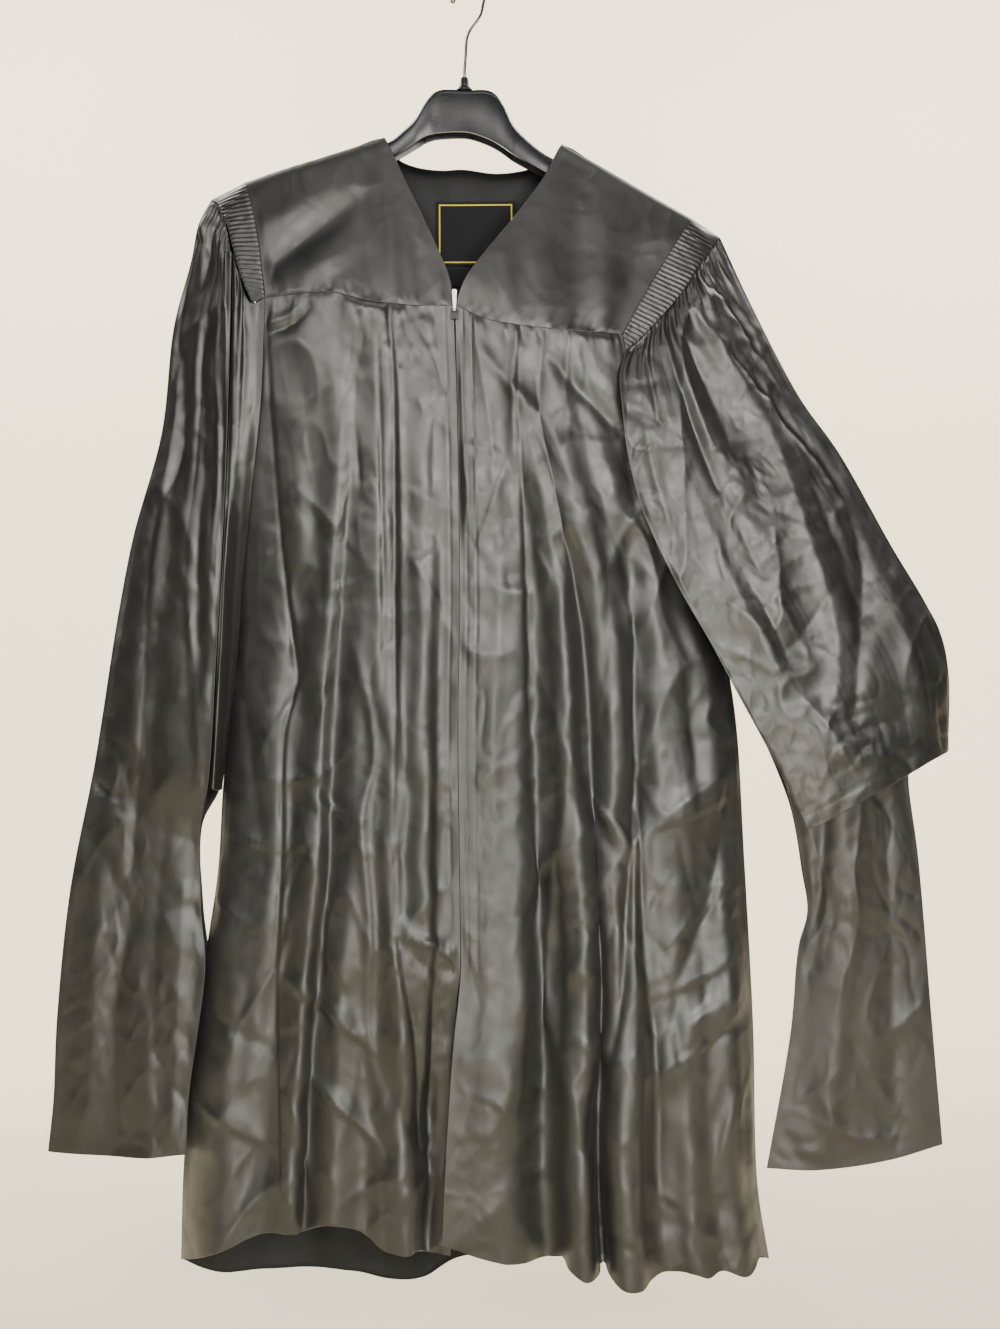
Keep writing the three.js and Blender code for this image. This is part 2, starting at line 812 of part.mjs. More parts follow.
const rightSleeveBack = folded(
  between(
    [
      RIGHT_SLEEVE_BACK_INNER.at(0),
      ...mirroredToBack(rightBandFrontHalf).reverse().slice(1, -1),
      ...mirroredToBack([RIGHT_SLEEVE_OUTER.at(0)]),
    ],
    RIGHT_SLEEVE_BACK_FOOT,
    RIGHT_SLEEVE_BACK_INNER,
    mirroredToBack(RIGHT_SLEEVE_OUTER),
  ),
  SLEEVE_BACK_FOLDS,
  1,
  (u, v) => seamFade(v, 0.05) * seamFade(Math.min(u, 1 - u), 0.15),
);

// Sleeves of the wearer's left arm
const leftBandFrontHalf = moved(LEFT_BAND_SLEEVE, SEAM_GAP, 0, -SEAM_GAP);
const leftSleeveFace = folded(
  between(
    [LEFT_SLEEVE_FOLD.at(0), ...leftBandFrontHalf.slice(1, -1).reverse(), LEFT_SLEEVE_OUTER.at(0)],
    LEFT_CUFF,
    LEFT_SLEEVE_FOLD,
    LEFT_SLEEVE_OUTER,
  ),
  LEFT_SLEEVE_FOLDS,
  -1,
  (u, v) => seamFade(v, 0.03) * seamFade(Math.min(u, 1 - u), 0.08),
);
const LEFT_SLEEVE_COLUMNS = 24;
const returnShare = SLEEVE_RETURN.length / LEFT_SLEEVE_COLUMNS;
const leftSleeveFront = (u, v) => {
  if (u >= returnShare) {
    return leftSleeveFace((u - returnShare) / (1 - returnShare), v);
  }
  const place = (u / returnShare) * SLEEVE_RETURN.length;
  const index = Math.floor(place);
  const [outFrom, behindFrom] = SLEEVE_RETURN[index];
  const [outTo, behindTo] = SLEEVE_RETURN[index + 1] ?? [0, 0];
  const point = leftSleeveFace(0, v);
  const growth = seamFade(v, 0.1);
  point.x += THREE.MathUtils.lerp(outFrom, outTo, place - index) * (0.25 + 0.75 * growth);
  point.y += THREE.MathUtils.lerp(behindFrom, behindTo, place - index) * (0.4 + 0.6 * growth);
  return point;
};
const leftDrop = folded(
  between(LEFT_DROP_TOP, LEFT_DROP_FOOT, LEFT_DROP_INNER, LEFT_DROP_OUTER),
  LEFT_DROP_FOLDS,
  -1,
  (u, v) => seamFade(Math.min(v, 1 - v), 0.05) * seamFade(Math.min(u, 1 - u), 0.15),
);
const leftSleeveBack = folded(
  between(
    [
      LEFT_SLEEVE_BACK_OUTER.at(0),
      ...mirroredToBack(leftBandFrontHalf).slice(1, -1),
      LEFT_SLEEVE_BACK_INNER.at(0),
    ],
    mirroredToBack(LEFT_DROP_FOOT).reverse(),
    LEFT_SLEEVE_BACK_OUTER,
    LEFT_SLEEVE_BACK_INNER,
  ),
  SLEEVE_BACK_FOLDS,
  1,
  (u, v) => seamFade(v, 0.05) * seamFade(Math.min(u, 1 - u), 0.15),
);

// A label lies on the inner face of the back yoke and faces forwards
function labelSurface({ left, right, top, bottom }) {
  const setback = CLOTH + LABEL_SETBACK + LABEL_THICKNESS;
  return (u, v) => {
    const x = THREE.MathUtils.lerp(left, right, u);
    const z = THREE.MathUtils.lerp(top, bottom, v);
    return onPanel(backYoke, x, z, setback);
  };
}

// A zip tape follows its front edge behind the panel
function tapeSurface(panel, side) {
  return (u, v) => {
    const down = Math.max((v * ZIP_ROWS) / FRONT_ROWS, ZIP_START);
    const panelWidth = panel(0, down).distanceTo(panel(1, down));
    const out = (TAPE_INSET + TAPE_WIDTH * (side > 0 ? u : 1 - u)) / panelWidth;
    const across = side > 0 ? out : 1 - out;
    return panel(across, down).addScaledVector(inwardAt(panel, across, down), CLOTH + TAPE_SETBACK);
  };
}

// Hanger body: an arched shell, open underneath
function hangerBody() {
  const columns = HANGER_STATIONS.length - 1;
  const section = ([x, top, foot, half], inset) => {
    const reach = half - inset;
    const ridge = top - inset;
    const shoulder = Math.max(ridge - HANGER_BACKBONE.drop, foot + 1);
    const slope = ridge - HANGER_BACKBONE.slope;
    return [
      [x, -reach, foot],
      [x, -reach, shoulder],
      [x, -reach * HANGER_BACKBONE.share, slope],
      [x, 0, ridge],
      [x, reach * HANGER_BACKBONE.share, slope],
      [x, reach, shoulder],
      [x, reach, foot],
    ];
  };
  const positions = [];
  const perRing = 2 * section(HANGER_STATIONS[0], 0).length;
  HANGER_STATIONS.forEach((station, index) => {
    const atEnd = index === 0 || index === columns;
    const outer = section(station, 0);
    const inner = section(station, atEnd ? HANGER_END_WALL : HANGER_WALL).reverse();
    [...outer, ...inner].forEach(([x, y, z]) => positions.push(x, y, z));
  });
  const faces = [];
  for (let i = 0; i < columns; i += 1) {
    for (let k = 0; k < perRing; k += 1) {
      const a = i * perRing + k;
      const b = i * perRing + ((k + 1) % perRing);
      const c = (i + 1) * perRing + ((k + 1) % perRing);
      const d = (i + 1) * perRing + k;
      faces.push(a, c, b, a, d, c);
    }
  }
  const half = perRing / 2;
  for (const [start, turn] of [[0, 1], [columns * perRing, -1]]) {
    for (let k = 0; k < half - 1; k += 1) {
      const corners = [start + k, start + perRing - 1 - k, start + perRing - 2 - k, start + k + 1];
      const ordered = turn > 0 ? corners.reverse() : corners;
      faces.push(ordered[0], ordered[1], ordered[2], ordered[0], ordered[2], ordered[3]);
    }
  }
  const geometry = new THREE.BufferGeometry();
  geometry.setAttribute('position', new THREE.Float32BufferAttribute(positions, 3));
  geometry.setIndex(faces);
  return geometry;
}

function hangerCollar() {
  const { top, foot, neck, waist, waistHeight, flare, bore } = COLLAR;
  const profile = [
    [bore, foot],
    [flare, foot],
    [waist, foot + waistHeight],
    [neck, top],
    [bore, top],
    [bore, foot],
  ].map(([radius, z]) => new THREE.Vector2(radius, z));
  const geometry = new THREE.LatheGeometry(profile, 16);
  geometry.rotateX(Math.PI / 2);
  geometry.translate(COLLAR.x, 0, 0);
  return geometry;
}

function hangerHook() {
  const points = [...HOOK_STEM];
  for (let angle = HOOK.fromAngle; angle <= HOOK.toAngle; angle += HOOK.turnStep) {
    const turn = THREE.MathUtils.degToRad(angle);
    points.push([HOOK.radius * Math.cos(turn), HOOK.z + HOOK.radius * Math.sin(turn)]);
  }
  const path = edge(points.map(([x, z]) => [x, 0, z]));
  const circle = new THREE.Shape();
  circle.absarc(0, 0, WIRE_RADIUS, 0, Math.PI * 2);
  const along = { steps: 32, curveSegments: 4, extrudePath: path, bevelEnabled: false };
  const wire = new THREE.ExtrudeGeometry(circle, along);
  const tip = new THREE.SphereGeometry(HOOK.tip, 10, 7);
  const end = path.getPoint(1);
  tip.translate(end.x, end.y, end.z);
  return fromSolid(toSolid(wire).add(toSolid(tip)));
}

// Slider: plate with two ears and a pin across them
const PIVOT = { y: SLIDER.y - SLIDER.depth - EAR.reach + EAR.pinInset, z: SLIDER.z - EAR.height / 2 };

function zipSlider() {
  const { x, y, z, width, height, depth } = SLIDER;
  const plate = new THREE.BoxGeometry(width, depth, height);
  plate.translate(x, y - depth / 2, z - height / 2);
  let solid = toSolid(plate);
  for (const side of [-1, 1]) {
    const ear = new THREE.BoxGeometry(EAR.thickness, EAR.reach + EAR.root, EAR.height);
    const earX = x + (side * (EAR.gap + EAR.thickness)) / 2;
    ear.translate(earX, y - depth - (EAR.reach - EAR.root) / 2, z - EAR.height / 2);
    solid = solid.add(toSolid(ear));
  }
  const pin = new THREE.CylinderGeometry(PIN_RADIUS, PIN_RADIUS, EAR.gap + EAR.thickness, 10);
  pin.rotateZ(Math.PI / 2);
  pin.translate(x, PIVOT.y, PIVOT.z);
  return fromSolid(solid.add(toSolid(pin)));
}

// Pull tab: an eye round the slider's pin and a tapered tab, here turned up
function zipPull() {
  const eyeOutline = new THREE.Shape();
  eyeOutline.absarc(0, 0, EYE.outer, 0, Math.PI * 2);
  const hole = new THREE.Path();
  hole.absarc(0, 0, EYE.inner, 0, Math.PI * 2, true);
  eyeOutline.holes.push(hole);
  const eye = new THREE.ExtrudeGeometry(eyeOutline, {
    depth: EYE.width,
    curveSegments: 8,
    bevelEnabled: false,
  });
  eye.translate(0, 0, -EYE.width / 2);
  eye.rotateY(Math.PI / 2);
  const tab = new THREE.Shape();
  const neck = EYE.width / 2;
  const foot = PULL.footWidth / 2;
  const end = PULL.endWidth / 2;
  const root = EYE.outer - PULL.root;
  const neckTop = EYE.outer + PULL.neck;
  const waist = EYE.outer + PULL.waist;
  const roundFrom = PULL.length - PULL.rounding;
  tab.moveTo(-neck, root);
  tab.lineTo(neck, root);
  tab.lineTo(neck, neckTop);
  tab.lineTo(foot, waist);
  tab.lineTo(end, roundFrom);
  tab.quadraticCurveTo(end, PULL.length, 0, PULL.length);
  tab.quadraticCurveTo(-end, PULL.length, -end, roundFrom);
  tab.lineTo(-foot, waist);
  tab.lineTo(-neck, neckTop);
  tab.closePath();
  const plate = new THREE.ExtrudeGeometry(tab, {
    depth: PULL.thickness,
    curveSegments: 5,
    bevelEnabled: false,
  });
  plate.translate(0, 0, -PULL.thickness / 2);
  plate.rotateX(Math.PI / 2);
  const geometry = fromSolid(toSolid(plate).add(toSolid(eye)));
  geometry.translate(SLIDER.x, PIVOT.y, PIVOT.z);
  return geometry;
}

// The whole object
const gown = new THREE.Group();

function addPiece(name, geometry, color, roughness, metalness) {
  const material = new THREE.MeshStandardMaterial({ color, roughness, metalness });
  const mesh = new THREE.Mesh(geometry, material);
  mesh.name = name;
  gown.add(mesh);
}

function addCloth(name, geometry) {
  addPiece(name, geometry, SATIN, 0.5, 0);
}

const eased = (surface) => (u, v) => surface(u, shoulderEase(v));
addCloth('front_yoke_right', clothWall(9, 8, eased(rightYoke)));
addCloth('front_yoke_left', clothWall(9, 8, eased(leftYoke)));
addCloth('back_yoke', clothWall(24, 7, eased(backYoke)));
addCloth('front_panel_right', clothWall(30, FRONT_ROWS, rightFront));
addCloth('front_panel_left', clothWall(34, FRONT_ROWS, leftFront));
addCloth('back_panel', clothWall(34, 10, backPanel));

for (const [name, surface, rows] of [
  ['fluting_right', rightBand, RIGHT_YOKE_SIDE],
  ['fluting_left', leftBand, LEFT_YOKE_SIDE],
]) {
  const flutes = Math.round((2 * edge(rows).getLength()) / FLUTE_PITCH);
  addCloth(name, clothWall(2, flutes * 2, surface, { relief: fluteRelief(flutes) }));
}

addCloth('sleeve_right_drop', clothWall(15, 16, rightDrop));
addCloth('sleeve_right_front', clothWall(6, 10, rightStrip));
addCloth('sleeve_right_back', clothWall(10, 12, rightSleeveBack));
addCloth('sleeve_left_front', clothWall(LEFT_SLEEVE_COLUMNS, 12, leftSleeveFront));
addCloth('sleeve_left_drop', clothWall(10, 8, leftDrop));
addCloth('sleeve_left_back', clothWall(12, 14, leftSleeveBack));

addPiece('zip_tape_right', clothWall(1, ZIP_ROWS, tapeSurface(rightFront, -1)), FACING, 0.7, 0);
addPiece('zip_tape_left', clothWall(1, ZIP_ROWS, tapeSurface(leftFront, 1)), FACING, 0.7, 0);
addPiece('zip_slider', zipSlider(), BRIGHT, 0.3, 1);
addPiece('zip_pull', zipPull(), BRIGHT, 0.3, 1);
const woven = { thickness: LABEL_THICKNESS };
addPiece('neck_label', clothWall(4, 4, labelSurface(NECK_LABEL), woven), LABEL, 0.8, 0);
addPiece('size_tag', clothWall(2, 2, labelSurface(SIZE_TAG), woven), LABEL, 0.8, 0);
addPiece('hanger_body', hangerBody(), PLASTIC, 0.4, 0);
addPiece('hanger_collar', hangerCollar(), PLASTIC, 0.4, 0);
addPiece('hanger_hook', hangerHook(), CHROME, 0.15, 1);

export default gown;
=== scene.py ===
import math
import random

import bmesh
import bpy
import numpy as np
from mathutils import Matrix, Vector, noise


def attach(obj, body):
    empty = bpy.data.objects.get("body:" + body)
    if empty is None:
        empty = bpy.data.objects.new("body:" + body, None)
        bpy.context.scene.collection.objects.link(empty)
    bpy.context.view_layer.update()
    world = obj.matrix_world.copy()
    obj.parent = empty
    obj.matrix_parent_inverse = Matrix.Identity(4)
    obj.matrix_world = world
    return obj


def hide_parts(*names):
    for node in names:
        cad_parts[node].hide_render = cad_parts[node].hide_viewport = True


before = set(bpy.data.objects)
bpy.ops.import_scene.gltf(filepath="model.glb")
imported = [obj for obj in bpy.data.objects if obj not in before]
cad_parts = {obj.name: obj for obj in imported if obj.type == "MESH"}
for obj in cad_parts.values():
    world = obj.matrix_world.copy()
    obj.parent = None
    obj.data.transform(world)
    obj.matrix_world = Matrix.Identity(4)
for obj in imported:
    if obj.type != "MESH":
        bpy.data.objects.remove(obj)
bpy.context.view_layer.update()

# Camera: level and square to the gown, 1.8 m in front of the cloth's front plane.
# There the photo's height takes in 1.462 m, and its middle is 36 mm to the wearer's left of the hook.
MM = 0.001
VIEW_DISTANCE = 1800 * MM
VIEW_HEIGHT = 1461.9 * MM
VIEW_X = 36.4 * MM
VIEW_Z = -790 * MM
FRONT_PLANE = -60 * MM
SENSOR = 36
camera_data = bpy.data.cameras.new("camera")
camera_data.sensor_fit = "VERTICAL"
camera_data.sensor_height = SENSOR
camera_data.lens = SENSOR * VIEW_DISTANCE / VIEW_HEIGHT
camera = bpy.data.objects.new("camera", camera_data)
camera.location = (VIEW_X, FRONT_PLANE - VIEW_DISTANCE, VIEW_Z)
camera.rotation_euler = (math.pi / 2, 0, 0)
bpy.context.scene.collection.objects.link(camera)
bpy.context.scene.camera = camera

# Studio: a cream paper floor that sweeps up far behind, with two lamps of its own. Soft lamps light
# the gown from in front, low down, from one side and above, and a weak one lights its back.
FLOOR_Z = -1620 * MM
FLOOR_WIDTH = 16
FLOOR_LENGTH = 12
FLOOR_NEAR = -5
SWEEP_START = 2.6
SWEEP_RADIUS = 1.6
CREAM = (0.85, 0.745, 0.54)
PALE_CREAM = (0.89, 0.80, 0.61)
AMBIENT = (0.92, 0.90, 0.86, 1)
AMBIENT_STRENGTH = 0.055
LAMP_COLOUR = (1.0, 0.985, 0.95)


def fill(tree, made, inputs):
    """Sets or links the inputs of a shader node"""
    for socket, value in inputs.items():
        if isinstance(value, bpy.types.NodeSocket):
            tree.links.new(value, made.inputs[socket])
        else:
            made.inputs[socket].default_value = value


def node(tree, kind, inputs=None, **settings):
    """A shader node with its settings and inputs"""
    made = tree.nodes.new(kind)
    for name, value in settings.items():
        setattr(made, name, value)
    fill(tree, made, inputs or {})
    return made


def new_material(name):
    """An empty material, its node tree and its surface shader"""
    made = bpy.data.materials.new(name)
    made.use_nodes = True
    return made, made.node_tree, made.node_tree.nodes["Principled BSDF"]


def speckle(tree, scale, detail, vector=None, roughness=0.5, distortion=0.0, **settings):
    """Noise over the places of a piece, or over another vector"""
    if vector is None:
        vector = node(tree, "ShaderNodeTexCoord").outputs["Object"]
    return node(tree, "ShaderNodeTexNoise", {
        "Vector": vector, "Scale": scale, "Detail": detail, "Roughness": roughness, "Distortion": distortion,
    }, **settings).outputs["Fac"]


def tinted(tree, factor, low, high):
    """A colour between two tones"""
    return node(tree, "ShaderNodeMix", {
        "Factor": factor, "A": (*low, 1), "B": (*high, 1),
    }, data_type="RGBA").outputs[2]


def mesh_piece(name, shape, material):
    """Ends a bmesh: a smooth object at the origin with its material"""
    data = bpy.data.meshes.new(name)
    shape.to_mesh(data)
    shape.free()
    data.materials.append(material)
    data.polygons.foreach_set("use_smooth", [True] * len(data.polygons))
    made = bpy.data.objects.new(name, data)
    bpy.context.scene.collection.objects.link(made)
    return made


floor_shape = bmesh.new()
bmesh.ops.create_grid(floor_shape, x_segments=8, y_segments=80, size=0.5)
for vertex in floor_shape.verts:
    along = (vertex.co.y + 0.5) * FLOOR_LENGTH + FLOOR_NEAR
    turn = min(max((along - SWEEP_START) / SWEEP_RADIUS, 0), math.pi / 2)
    rest = max(along - SWEEP_START - SWEEP_RADIUS * math.pi / 2, 0)
    behind = min(along, SWEEP_START) + SWEEP_RADIUS * math.sin(turn)
    height = SWEEP_RADIUS * (1 - math.cos(turn)) + rest
    vertex.co = (vertex.co.x * FLOOR_WIDTH, behind, FLOOR_Z + height)
floor_material, tree, shader = new_material("cream_paper")
fill(tree, shader, {
    "Base Color": tinted(tree, speckle(tree, 0.7, 2), CREAM, PALE_CREAM), "Roughness": 0.9,
})
floor = mesh_piece("floor", floor_shape, floor_material)

world = bpy.data.worlds.new("studio")
world.use_nodes = True
fill(world.node_tree, world.node_tree.nodes["Background"], {"Color": AMBIENT, "Strength": AMBIENT_STRENGTH})
bpy.context.scene.world = world

# Columns: name, place, aim, width, height, power
LIGHTS = [
    ("key", (0.75, -2.5, -0.25), (0, 0, -0.75), 0.9, 0.6, 52),
    ("low", (0.25, -2.4, -1.3), (0.05, 0, -1.1), 0.6, 0.4, 19),
    ("side", (-1.5, -2.0, 0.2), (-0.3, 0, -0.45), 0.5, 0.9, 9),
    ("front", (-0.7, -2.6, 0.5), (0, 0, -0.6), 0.7, 0.7, 27),
    ("top", (0.2, -0.9, 1.5), (0, 0, -0.5), 1.6, 0.8, 11),
    ("back", (-0.9, 2.3, -0.2), (0, 0, -0.75), 0.8, 0.6, 16),
    ("paper_left", (-2.2, 1.4, 1.9), (-1.1, 4.6, -0.6), 2.0, 1.0, 320),
    ("paper_right", (2.2, 1.4, 1.9), (1.1, 4.6, -0.6), 2.0, 1.0, 310),
]
for name, place, aim, width, height, power in LIGHTS:
    lamp_data = bpy.data.lights.new(name, "AREA")
    lamp_data.shape = "RECTANGLE"
    lamp_data.size = width
    lamp_data.size_y = height
    lamp_data.energy = power
    lamp_data.color = LAMP_COLOUR
    lamp = bpy.data.objects.new(name, lamp_data)
    lamp.location = place
    lamp.visible_camera = False
    lamp.rotation_euler = (Vector(aim) - Vector(place)).to_track_quat("-Z", "Y").to_euler()
    bpy.context.scene.collection.objects.link(lamp)

# Hook: 3.3 mm steel wire, bright plated, bent to an open round with a moulded ball on its end.
# Its straight stem turns in the hanger's collar. The origin is the inner top of the round.
WIRE_RADIUS = 1.65 * MM
HOOK_RADIUS = 22.7 * MM
WIRE_SIDES = 16
WIRE_RINGS = 120
BALL_RADIUS = 3.1 * MM
HOOK_MIDDLE = -21 * MM
HOOK_DEGREES = range(-35, 223, 8)
HOOK_STEM = [(-4, -137.5), (-4, -120), (-2.6, -98), (-1, -78), (2.5, -69), (9, -60), (14.5, -51)]
CURVE_STEPS = 24


def ramp(tree, factor, low, high, low_value, high_value):
    """Maps low..high of a factor to two values, and holds them beyond"""
    return node(tree, "ShaderNodeMapRange", {
        "Value": factor, "From Min": low, "From Max": high, "To Min": low_value, "To Max": high_value,
    }).outputs["Result"]


def shares(count):
    """Even shares from 0 to 1"""
    return np.linspace(0, 1, count)


def edge(rows, stops, unit=MM):
    """Places at shares of the length of a smooth curve through the rows"""
    points = np.array(rows, float) * unit
    guide = np.vstack([2 * points[0] - points[1], points, 2 * points[-1] - points[-2]])
    t = np.linspace(0, 1, CURVE_STEPS, endpoint=False)[:, None]
    line = []
    for p, q, r, s in zip(guide, guide[1:], guide[2:], guide[3:]):
        before, here, after = (np.linalg.norm(step) ** 0.5 for step in (q - p, r - q, s - r))
        leaving = here * ((q - p) / before - (r - p) / (before + here)) + r - q
        arriving = here * ((s - r) / after - (s - q) / (here + after)) + r - q
        line.append((2 * t**3 - 3 * t**2 + 1) * q + (t**3 - 2 * t**2 + t) * leaving
                    + (3 * t**2 - 2 * t**3) * r + (t**3 - t**2) * arriving)
    line = np.vstack([*line, points[-1:]])
    run = np.concatenate([[0], np.cumsum(np.linalg.norm(np.diff(line, axis=0), axis=1))])
    wanted = np.asarray(stops) * run[-1]
    return np.stack([np.interp(wanted, run, line[:, axis]) for axis in range(3)], axis=1)


def tube(shape, places, radius, sides):
    """A round wire along places in the plane of the hook, with closed ends"""
    rings = []
    for place, way in zip(places, np.gradient(places, axis=0)):
        forward = Vector(way).normalized()
        depth = Vector((0, 1, 0))
        turn = Matrix((depth.cross(forward), depth, forward)).transposed().to_4x4()
        ring = bmesh.ops.create_circle(shape, segments=sides, radius=radius,
                                       matrix=Matrix.Translation(place) @ turn)
        rings.append(ring["verts"])
    for ring, following in zip(rings, rings[1:]):
        for index in range(sides):
            after = (index + 1) % sides
            shape.faces.new((ring[index], ring[after], following[after], following[index]))
    shape.faces.new(rings[0][::-1])
    shape.faces.new(rings[-1])


plated, tree, shader = new_material("plated_steel")
drawn = speckle(tree, 900, 3)
fill(tree, shader, {
    "Base Color": tinted(tree, drawn, (0.30, 0.30, 0.29), (0.22, 0.215, 0.205)),
    "Roughness": ramp(tree, drawn, 0.35, 0.7, 0.16, 0.3), "Metallic": 1,
})

hook_points = [(x * MM, 0, z * MM) for x, z in HOOK_STEM]
for turn in map(math.radians, HOOK_DEGREES):
    hook_points.append((HOOK_RADIUS * math.cos(turn), 0, HOOK_MIDDLE + HOOK_RADIUS * math.sin(turn)))
hook_line = edge(hook_points, shares(WIRE_RINGS), 1)
hook_shape = bmesh.new()
tube(hook_shape, hook_line, WIRE_RADIUS, WIRE_SIDES)
bmesh.ops.recalc_face_normals(hook_shape, faces=hook_shape.faces)
bmesh.ops.create_uvsphere(hook_shape, u_segments=24, v_segments=16, radius=BALL_RADIUS,
                          matrix=Matrix.Translation(hook_line[-1]))
hook = mesh_piece("hook", hook_shape, plated)
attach(hook, "root")
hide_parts("hanger_hook")

# Collar: the moulded socket that stands on the hanger's hump and holds the hook's stem.
# Black plastic, turned in the mould, so it is round, with a flared foot and softly broken edges.
COLLAR_X = -4 * MM
COLLAR_PROFILE = [(2, -138.6), (9.5, -138.6), (9.2, -137), (6.6, -134.5), (5.3, -131), (4.6, -126),
                  (4.3, -123.5), (3.8, -123), (2, -123)]
COLLAR_EDGE = 0.3 * MM


def bump(tree, height, strength, distance, **inputs):
    """A normal tilted by a height"""
    return node(tree, "ShaderNodeBump", {
        "Strength": strength, "Distance": distance, "Height": height, **inputs,
    }).outputs["Normal"]


plastic, tree, shader = new_material("black_moulded_plastic")
flow = speckle(tree, 26, 4)
fill(tree, shader, {
    "Base Color": tinted(tree, flow, (0.007, 0.0075, 0.009), (0.014, 0.0145, 0.016)),
    "Roughness": ramp(tree, flow, 0.3, 0.75, 0.24, 0.36),
    "Normal": bump(tree, speckle(tree, 1400, 2), 0.12, 0.4 * MM),
})

collar_shape = bmesh.new()
profile = [collar_shape.verts.new((COLLAR_X + radius * MM, 0, z * MM)) for radius, z in COLLAR_PROFILE]
rim = [collar_shape.edges.new(pair) for pair in zip(profile, profile[1:] + profile[:1])]
bmesh.ops.spin(collar_shape, geom=profile + rim, cent=(COLLAR_X, 0, 0), axis=(0, 0, 1), dvec=(0, 0, 0),
               angle=math.tau, steps=40, use_merge=True, use_duplicate=False)
bmesh.ops.remove_doubles(collar_shape, verts=collar_shape.verts, dist=1e-6)
bmesh.ops.recalc_face_normals(collar_shape, faces=collar_shape.faces)
collar = mesh_piece("collar", collar_shape, plastic)
collar.modifiers.new("broken_edges", "BEVEL").width = COLLAR_EDGE
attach(collar, "root")
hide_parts("hanger_collar")

# Hanger: the wide suit hanger's moulded body, a black plastic shell open underneath.
# A rounded hump carries the collar, and the arms broaden a little towards their turned-in ends.
HANGER_WALL = 3 * MM
HANGER_EDGE = 0.8 * MM
HANGER_CROWN = 11 * MM
HANGER_ROUND = 2.6
HANGER_LENGTHWAYS = 150
HANGER_AROUND = 25
# Columns: x, top, foot, half depth
HANGER_STATIONS = [
    (-232, -239.5, -252, 7), (-226, -236.6, -258, 9.5), (-200, -227.6, -254, 10), (-150, -211.6, -238, 10),
    (-120, -204.5, -229, 11), (-91, -198, -219, 12), (-72, -184, -208, 14), (-59, -171, -200, 15),
    (-49, -154, -194, 14.5), (-41, -144, -191, 14), (-32, -139, -189.5, 14), (0, -139, -189, 14),
    (22, -139, -196, 14), (32, -144, -201, 14), (41, -157, -207, 14.5), (51, -178, -214, 15),
    (69, -197, -224, 14), (94, -215, -237, 12), (130, -228, -251, 11), (165, -241, -264, 10),
    (200, -254.7, -279, 10), (224, -268.6, -289, 9.5), (230, -273, -286, 7),
]


def grid_piece(name, places, material, uv=False):
    """A grid with its corners at the places: rows run down, columns run right on the outer face"""
    rows, columns = places.shape[:2]
    shape = bmesh.new()
    layer = shape.loops.layers.uv.new("cloth") if uv else None
    bmesh.ops.create_grid(shape, x_segments=columns - 1, y_segments=rows - 1, size=0.5)
    shape.verts.ensure_lookup_table()
    for vertex, spot in zip(shape.verts, places[::-1].reshape(-1, 3)):
        vertex.co = spot
    if uv:
        across = np.linalg.norm(np.diff(places, axis=1), axis=2)
        down = np.linalg.norm(np.diff(places, axis=0), axis=2)
        u = np.pad(np.cumsum(across, axis=1), ((0, 0), (1, 0)))
        v = np.pad(np.cumsum(down, axis=0), ((1, 0), (0, 0)))
        u -= u[:, -1:] / 2
        flat = np.stack([u, -v], axis=2)[::-1].reshape(-1, 2)
        for face in shape.faces:
            for loop in face.loops:
                loop[layer].uv = flat[loop.vert.index]
    return mesh_piece(name, shape, material)


stations = np.array(HANGER_STATIONS, float)
along_hanger = edge(stations[:, :3], shares(HANGER_LENGTHWAYS))
half_depth = np.interp(along_hanger[:, 0], stations[:, 0] * MM, stations[:, 3] * MM)
crown = np.minimum(HANGER_CROWN, along_hanger[:, 1] - along_hanger[:, 2])
hanger_places = np.zeros((HANGER_AROUND, HANGER_LENGTHWAYS, 3))
hanger_places[..., 0] = along_hanger[:, 0]
for row, turn in zip(hanger_places, np.linspace(-math.pi / 2, math.pi / 2, HANGER_AROUND)):
    row[:, 1] = -half_depth * np.sign(turn) * abs(math.sin(turn)) ** (2 / HANGER_ROUND)
    row[:, 2] = along_hanger[:, 1] - crown + crown * abs(math.cos(turn)) ** (2 / HANGER_ROUND)
hanger_places[[0, -1], :, 2] = along_hanger[:, 2]
hanger = grid_piece("hanger", hanger_places, plastic)
wall = hanger.modifiers.new("wall", "SOLIDIFY")
wall.thickness = HANGER_WALL
wall.offset = -1
soften = hanger.modifiers.new("moulded_edges", "BEVEL")
soften.width = HANGER_EDGE
soften.segments = 2
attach(hanger, "root")
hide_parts("hanger_body")

# Back yoke: the smooth doubled piece across the shoulders, cut in one from satin.
# It hangs on the hanger's arms, and its inside shows in the open neck.
CLOTH = 0.55 * MM
EDGE_DEPTH = 0.9 * MM
EDGE_OVERLAP = 0.5 * MM
EDGE_BAND = 0.35 * MM
# All tables of edges and folds are in millimetres. Fronts and backs keep this far from y = 0 where they meet
MEETING = 1.35
SEAM_GAP = 0.5
SATIN_LOW = (0.0070, 0.0078, 0.0079)
SATIN_HIGH = (0.0120, 0.0131, 0.0130)
WARP_SCALE = (2600, 140, 1)
WEFT_SCALE = (120, 3000, 1)
# Ridges of worn satin: height of level cloth, slope, crest and its width, how far they bend across and
# along, and the patches with more and fewer of them
RIDGE_LEVEL, RIDGE_SLOPE, RIDGE_CREST, CREST_WIDTH = 0.45, 1.6, 0.9, 0.14
BEND_ACROSS, BEND_ALONG = 0.8, 1.2
PATCH_WIDTH, PATCH_HEIGHT = 90 * MM, 120 * MM
PATCH_MIDDLE, PATCH_SWING, PATCH_LEAST = 0.6, 1.3, 0.1
GATHER_DRIFT = 6
